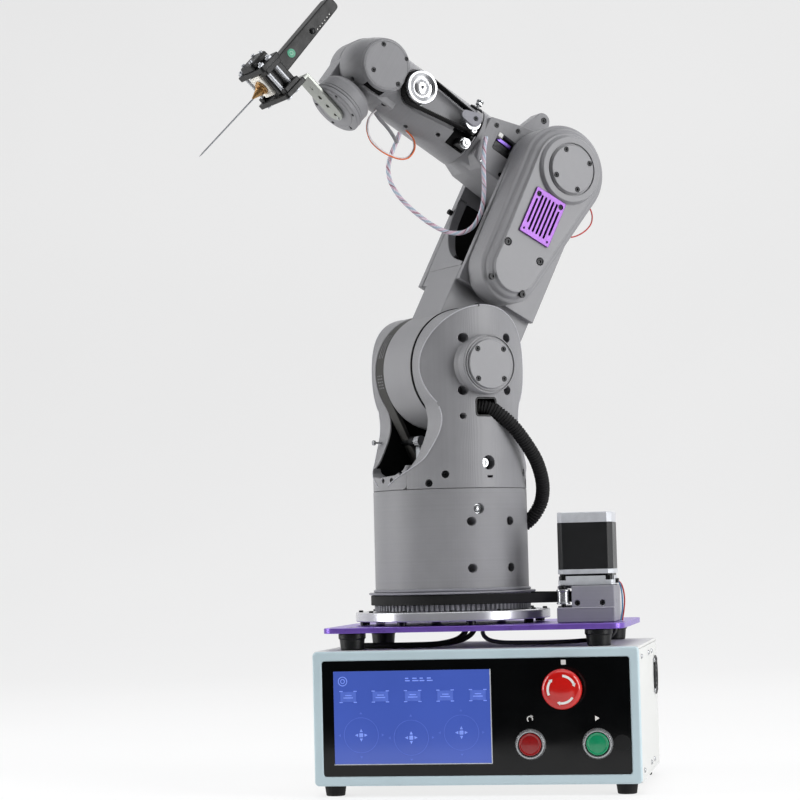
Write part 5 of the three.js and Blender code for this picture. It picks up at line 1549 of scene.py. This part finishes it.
def build_tool():
    tongue = arc(0, 0, 12, 180, 360, 32) + [(12, 49.5), (-12, 49.5)]
    sheet = puck(tongue, soft(64.8, 67.8, 0.4), "x")
    shelf = block(64.8, 100, -12, 12, 46.5, 49.5, 0.4, 0.6)
    cuts = [drill((67.8, 0, w), (1, 0, 0), r, 6, 0.3, 32) for w,
            r in ((20, 2.4), (8, 2.4), (-4.5, 2.0), (33, 2.0))]
    piece("tool_plate_bent", carve([sheet, shelf], cuts), WRIST, "tool", pale_grey,
          ["tool_plate"])
    heads = [button_screw((67.7, 0, -9.5), (1, 0, 0), 1.8, 1.2)]
    heads += [cap_screw((s, n, 46.5), (0, 0, -1), 2.4, 2.2) for s in (88, 96) for n in (-6, 6)]
    plates = [block(82, 112, -33, 34, 49.8, 55, 0.7, 3), block(83, 111, -27, 29, 86, 91.5, 0.7, 3),
              block(85, 110, -13, 15, 91, 99, 2.2, 4), block(86, 108, -30, -20, 55, 60, 0.6, 1.5),
              block(86, 108, 22, 32, 55, 60, 0.6, 1.5), block(86, 108, 18, 28, 81, 86.2, 0.6, 1.5)]
    piece("tool_clamp_plates", merged(*plates), WRIST, "tool", black_plastic, ["tool_clamp"])
    posts = []
    for s in (94, 106):
        for n in (-22, 25):
            posts += [rod("z", (s, n), 54.5, 86.5, 1.8, rim=0.3, n=32), threaded((s, n, 91), (s, n, 96), 1.7),
                      hex_nut((s, n, 91.5), (0, 0, 1), 3.8, 2.4), hex_nut((s, n, 49.8), (0, 0, -1), 3.8, 2.4)]
    posts += [cap_screw((s, n, 99), (0, 0, 1), 2.2, 2.2) for s in (89, 105) for n in (-8, 10)]
    piece("tool_clamp_posts", merged(*posts), WRIST, "tool", silver_cap)
    piece("tool_plate_screws", merged(*heads), WRIST, "tool", steel)
    body = [block(83, 91.8, -17, 20, 56, 85.6, 1.2, 2.5), block(90, 108, 12.6, 20, 56, 85.6, 1.0, 2)]
    piece("tool_body_block", merged(*body), WRIST, "tool", black_plastic)
    dots = [(s, handle_low(s) + 3.0) for s in (-1, 3.4, 7.8, 12.2, 16.6, 21)]
    grip = puck(fillet([(92, 64.5), (92, 82.5), (-16, 87.1), (-16, 72.1)], 5, 5), soft(-9, 9, 1.4))
    cuts = [drill((s, side * 9, w), (0, side, 0), 0.9, 1.4, 0.15, 16) for s, w in dots for side in (1, -1)]
    piece("tool_handle_grip", carve([grip], cuts), WRIST, "tool", black_plastic,
          ["tool_handle"])
    marks = [rod("y", (s, w), *sorted((side * 8, side * 8.9)), 0.7, rim=0.15, n=16) for s,
             w in dots for side in (1, -1)]
    piece("handle_dots", merged(*marks), WRIST, "tool", white_print)
    bump = turned([(0.4, 8.8), (3.2, 8.8), (3.4, 9.8), (2.4, 10.6), (0.4, 10.8)], "y",
                  (27, handle_low(27) + 6), 32)
    piece("handle_button", bump, WRIST, "tool", black_screw)
    middle = (62.6, handle_low(62.6) + 9)
    sticker = turned([(0.5, 8.7), (4.6, 8.7), (4.7, 9.2), (4.4, 9.35), (0.5, 9.35)], "y", middle, 48)
    piece("round_sticker", sticker, WRIST, "tool", sticker_green)
    mark = turned([(1.5, 9.2), (2.1, 9.2), (2.1, 9.45), (1.5, 9.45)], "y", middle, 32, True)
    piece("sticker_mark", mark, WRIST, "tool", sticker_pale)
    core = [block(92.3, 110, -10, 12, 59, 85, 1.4, 2)]
    ribs = [block(92.3, 110.6, -10.6, 12.6, z - 0.7, z + 0.7, 0.3, 2) for z in (63, 81)]
    piece("heater_block_ceramic", merged(*core, *ribs), WRIST, "tool", ceramic,
          ["heater_block"])
    straps = [torus("x", (1, 72), 100.5, 7.6, 0.9, 40, 8), torus("x", (1, 72), 110.8, 7.0, 1.0, 40, 8)]
    straps += [hex_nut((110, 1, 72), (1, 0, 0), 7.4, 3.4)]
    piece("heater_fittings", merged(*straps), WRIST, "tool", warm_metal)
    w = 71
    tip = turned([(1, 110.3), (5, 110.3), (5, 111), (4.4, 111.6), (5, 112.2), (5, 116), (4.2, 117),
                  (2.2, 122.4), (1.6, 124), (1.1, 126), (0.8, 126.4)], "x", (0, w), 48)
    needle = turned([(0.4, 125), (0.8, 125.4), (0.78, 170), (0.7, 209), (0.15, 214)], "x", (0, w - 0.5), 16)
    piece("nozzle_turned", tip, WRIST, "tool", warm_metal, ["nozzle_and_needle"])
    piece("needle", needle, WRIST, "tool", needle_steel)
    rails = [pin((97, -15, 60), (97, -15, 86), 1.7), pin((104, -15, 60), (104, -15, 86), 1.2)]
    piece("heater_rods", merged(*rails), WRIST, "tool", steel)


# ---- cords ------------------------------------------------------------------------------------------
HOSE_POINTS = [(6, 69, 394), (-5, 76, 391.5), (-17, 81, 384), (-31, 83.5, 371), (-47, 82, 353),
               (-61, 78, 335), (-72, 70, 314), (-77, 59, 296), (-74, 50, 282), (-69, 41, 273),
               (-61, 33, 266)]
HARNESS_POINTS = [(-32, 41, 682), (-28.5, 42.5, 670), (-26.5, 43.5, 652), (-26.5, 43.5, 634),
                  (-26, 42.5, 616), (-22.5, 41, 600), (-15, 38, 586.5), (-3, 34, 579.5), (12, 29, 580.5),
                  (27, 24, 588), (42.5, 19, 600), (57, 13.5, 615), (66, 9, 631), (68, 6, 645),
                  (65, 3.5, 657), (59.5, 1.5, 669), (54, 0.5, 679), (50, 0, 688)]
CABLE_POINTS = [(176, -60, 162.6), (175.3, -60.2, 159.6), (173.2, -60.8, 156.6), (170, -61.8, 154.6),
                (166, -63.2, 153.6), (150, -70, 151.4), (110, -82, 150), (70, -87.5, 150.8),
                (56, -86.5, 152.2), (49, -85, 154.2), (44.8, -83.8, 157.4), (43.2, -83.2, 160.4),
                (42.8, -83, 162.6)]
UNDER_LOOP = [(81, 3, 708.8), (88.8, 4, 701), (92.4, 6, 688.2), (89.2, 8, 675.9), (80.3, 10, 667),
              (69.6, 11, 661.4), (56.6, 12, 658), (46.2, 12, 660.6), (38.3, 10, 670.6), (38.2, 7, 681.3),
              (43.9, 3, 690), (48, 0, 697)]
# free wires without a node of their own: name, route, radius, body, material, slot
LOOSE_WIRES = [("loop_wire_white", [(u - 0.4, n + 2.6 - 0.45 * i, z + 0.8) for i,
                                    (u, n, z) in enumerate(UNDER_LOOP)], 1.1, "forearm", wire_white,
                "wire_braid"), ("loop_wire_orange", [(u * 0.985 + 1, n - 1.2 + 0.4 * i, z - 0.4) for i,
                                                     (u, n, z) in enumerate(UNDER_LOOP)], 0.8, "forearm",
                                wire_orange, "wire_braid"), ("loop_sleeve",
                                                             [(56, 5, 676), (60.5, 4.5, 684), (67, 4, 692.5),
                                                              (75, 4, 700), (81.5, 4, 708)], 2.0, "forearm",
                                                             sleeve_grey, "black_rubber"),
               ("motor_lead_red", [(177, -33, 211), (181, -33, 207), (183.4, -33, 199), (184, -33, 190),
                                   (183, -33, 180), (181, -33, 169.5)], 0.8, "base", wire_red, "wire_braid"),
               ("motor_lead_blue", [(177, -36, 211), (180, -36, 207), (181.6, -36, 199), (182, -36, 190),
                                    (181.6, -36, 180), (180, -36, 169.5)], 0.8, "base", wire_blue,
                "wire_braid"), ("plate_bundle", [(22, -60, 163), (19, -61, 158), (10, -62, 153),
                                                 (-8, -63, 149.8), (-35, -63, 149.2), (-62, -62, 149.2),
                                                 (-84, -57, 149.2), (-100, -44, 149.2), (-106, -26, 149.4),
                                                 (-106, -12, 153), (-105, -4, 158), (-105, 0, 163)], 3.0,
                                "base", black_rubber, "black_rubber"),
               ("plate_bundle_second", [(30, -54, 163), (26, -55, 158), (15, -56, 152.6), (-6, -56.6, 149.6),
                                        (-35, -56.6, 149), (-60, -55.6, 149), (-80, -51, 149),
                                        (-93, -40, 149), (-98, -24, 149.4), (-98, -10, 153), (-97, -2, 158),
                                        (-97, 2, 163)], 2.6, "base", wire_black, "black_rubber"),
               ("arm_lead_red", [(-58, 0, 250), (-72, 0, 254), (-82, 0, 249), (-89, 0, 242), (-91, 0, 232),
                                 (-86, 0, 219.4), (-76, 0, 208), (-62, 0, 202), (-50, 0, 198)], 0.8,
                "upper_arm", wire_red, "wire_braid"), ]


def route_length(points):
    return sum((b - a).length for a, b in zip(points, points[1:]))


def cord_piece(name, points, radius, place, body, material, replaces=(), count=40, sides=16,
               radii=None):
    """A free cord as a mesh tube along a smooth route, its sleeve map measured along its real length."""
    fine = smooth_route(points, count)
    shell = swept(fine, radii(fine) if radii else radius, sides)
    obj = piece(name, shell, place, body, material, replaces)
    length = route_length(fine) * MM
    add_sleeve_map(obj, count, sides, length)
    path = [tuple(place @ p) for p in smooth_route(points, 40)]


def add_sleeve_map(obj, count, sides, length):
    """Run along the tube in metres, and turn round it from 0 to 1, as texture coordinates."""
    layer = obj.data.uv_layers.new(name="sleeve")
    for face in obj.data.polygons:
        turns = [obj.data.loops[i].vertex_index % sides for i in face.loop_indices]
        wrap = max(turns) - min(turns) > sides / 2
        for i in face.loop_indices:
            vertex = obj.data.loops[i].vertex_index
            turn = vertex % sides
            if wrap and turn == 0:
                turn = sides
            layer.data[i].uv = (length * (vertex // sides) / (count - 1), turn / sides)


def corrugated(fine):
    """Ribs 3 mm apart along the whole hose."""
    out, run = [], 0.0
    for i, p in enumerate(fine):
        run += (p - fine[i - 1]).length if i else 0
        phase = (run / 3.0) % 1.0
        out.append(7.35 if phase < 0.5 else 6.45)
    return out


def build_cords():
    cord_piece("cable_hose_ribbed", HOSE_POINTS, 7.2, ARM, "turret", black_rubber,
               ["cable_hose"], count=280, sides=28, radii=corrugated)
    cord_piece("wire_harness_sleeve", HARNESS_POINTS, 2.4, ARM, "elbow", braid,
               ["wire_harness"], count=120, sides=16)
    for name, points, radius, body, material, slot in LOOSE_WIRES:
        place = {"base": WORLD, "upper_arm": UPPER}.get(body, ARM)
        cord_piece(name, points, radius, place, body, material, count=60, sides=12)
    cord_piece("base_cable_sheath", CABLE_POINTS, 2.2, WORLD, "base", wire_black,
               ["base_cable"], count=60, sides=16)


build_turret()
build_shoulder_drive()
build_upper_arm()
build_elbow()
build_forearm()
build_wrist()
build_tool()
build_cords()

# ---- carried-over CAD nodes inside the box -------------------------------------------------------
INSIDE = {
    "estop_stem": steel, "power_supply": brushed, "controller_board": circuit, "fan_frame": black_plastic,
    "fan_rotor": black_plastic,
}
for node, material in INSIDE.items():
    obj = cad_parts[node]
    obj.data.materials.clear()
    obj.data.materials.append(material)
    edge = obj.modifiers.new("edges", "BEVEL")
    edge.width = 0.0004
    edge.segments = 2
    edge.limit_method = "ANGLE"
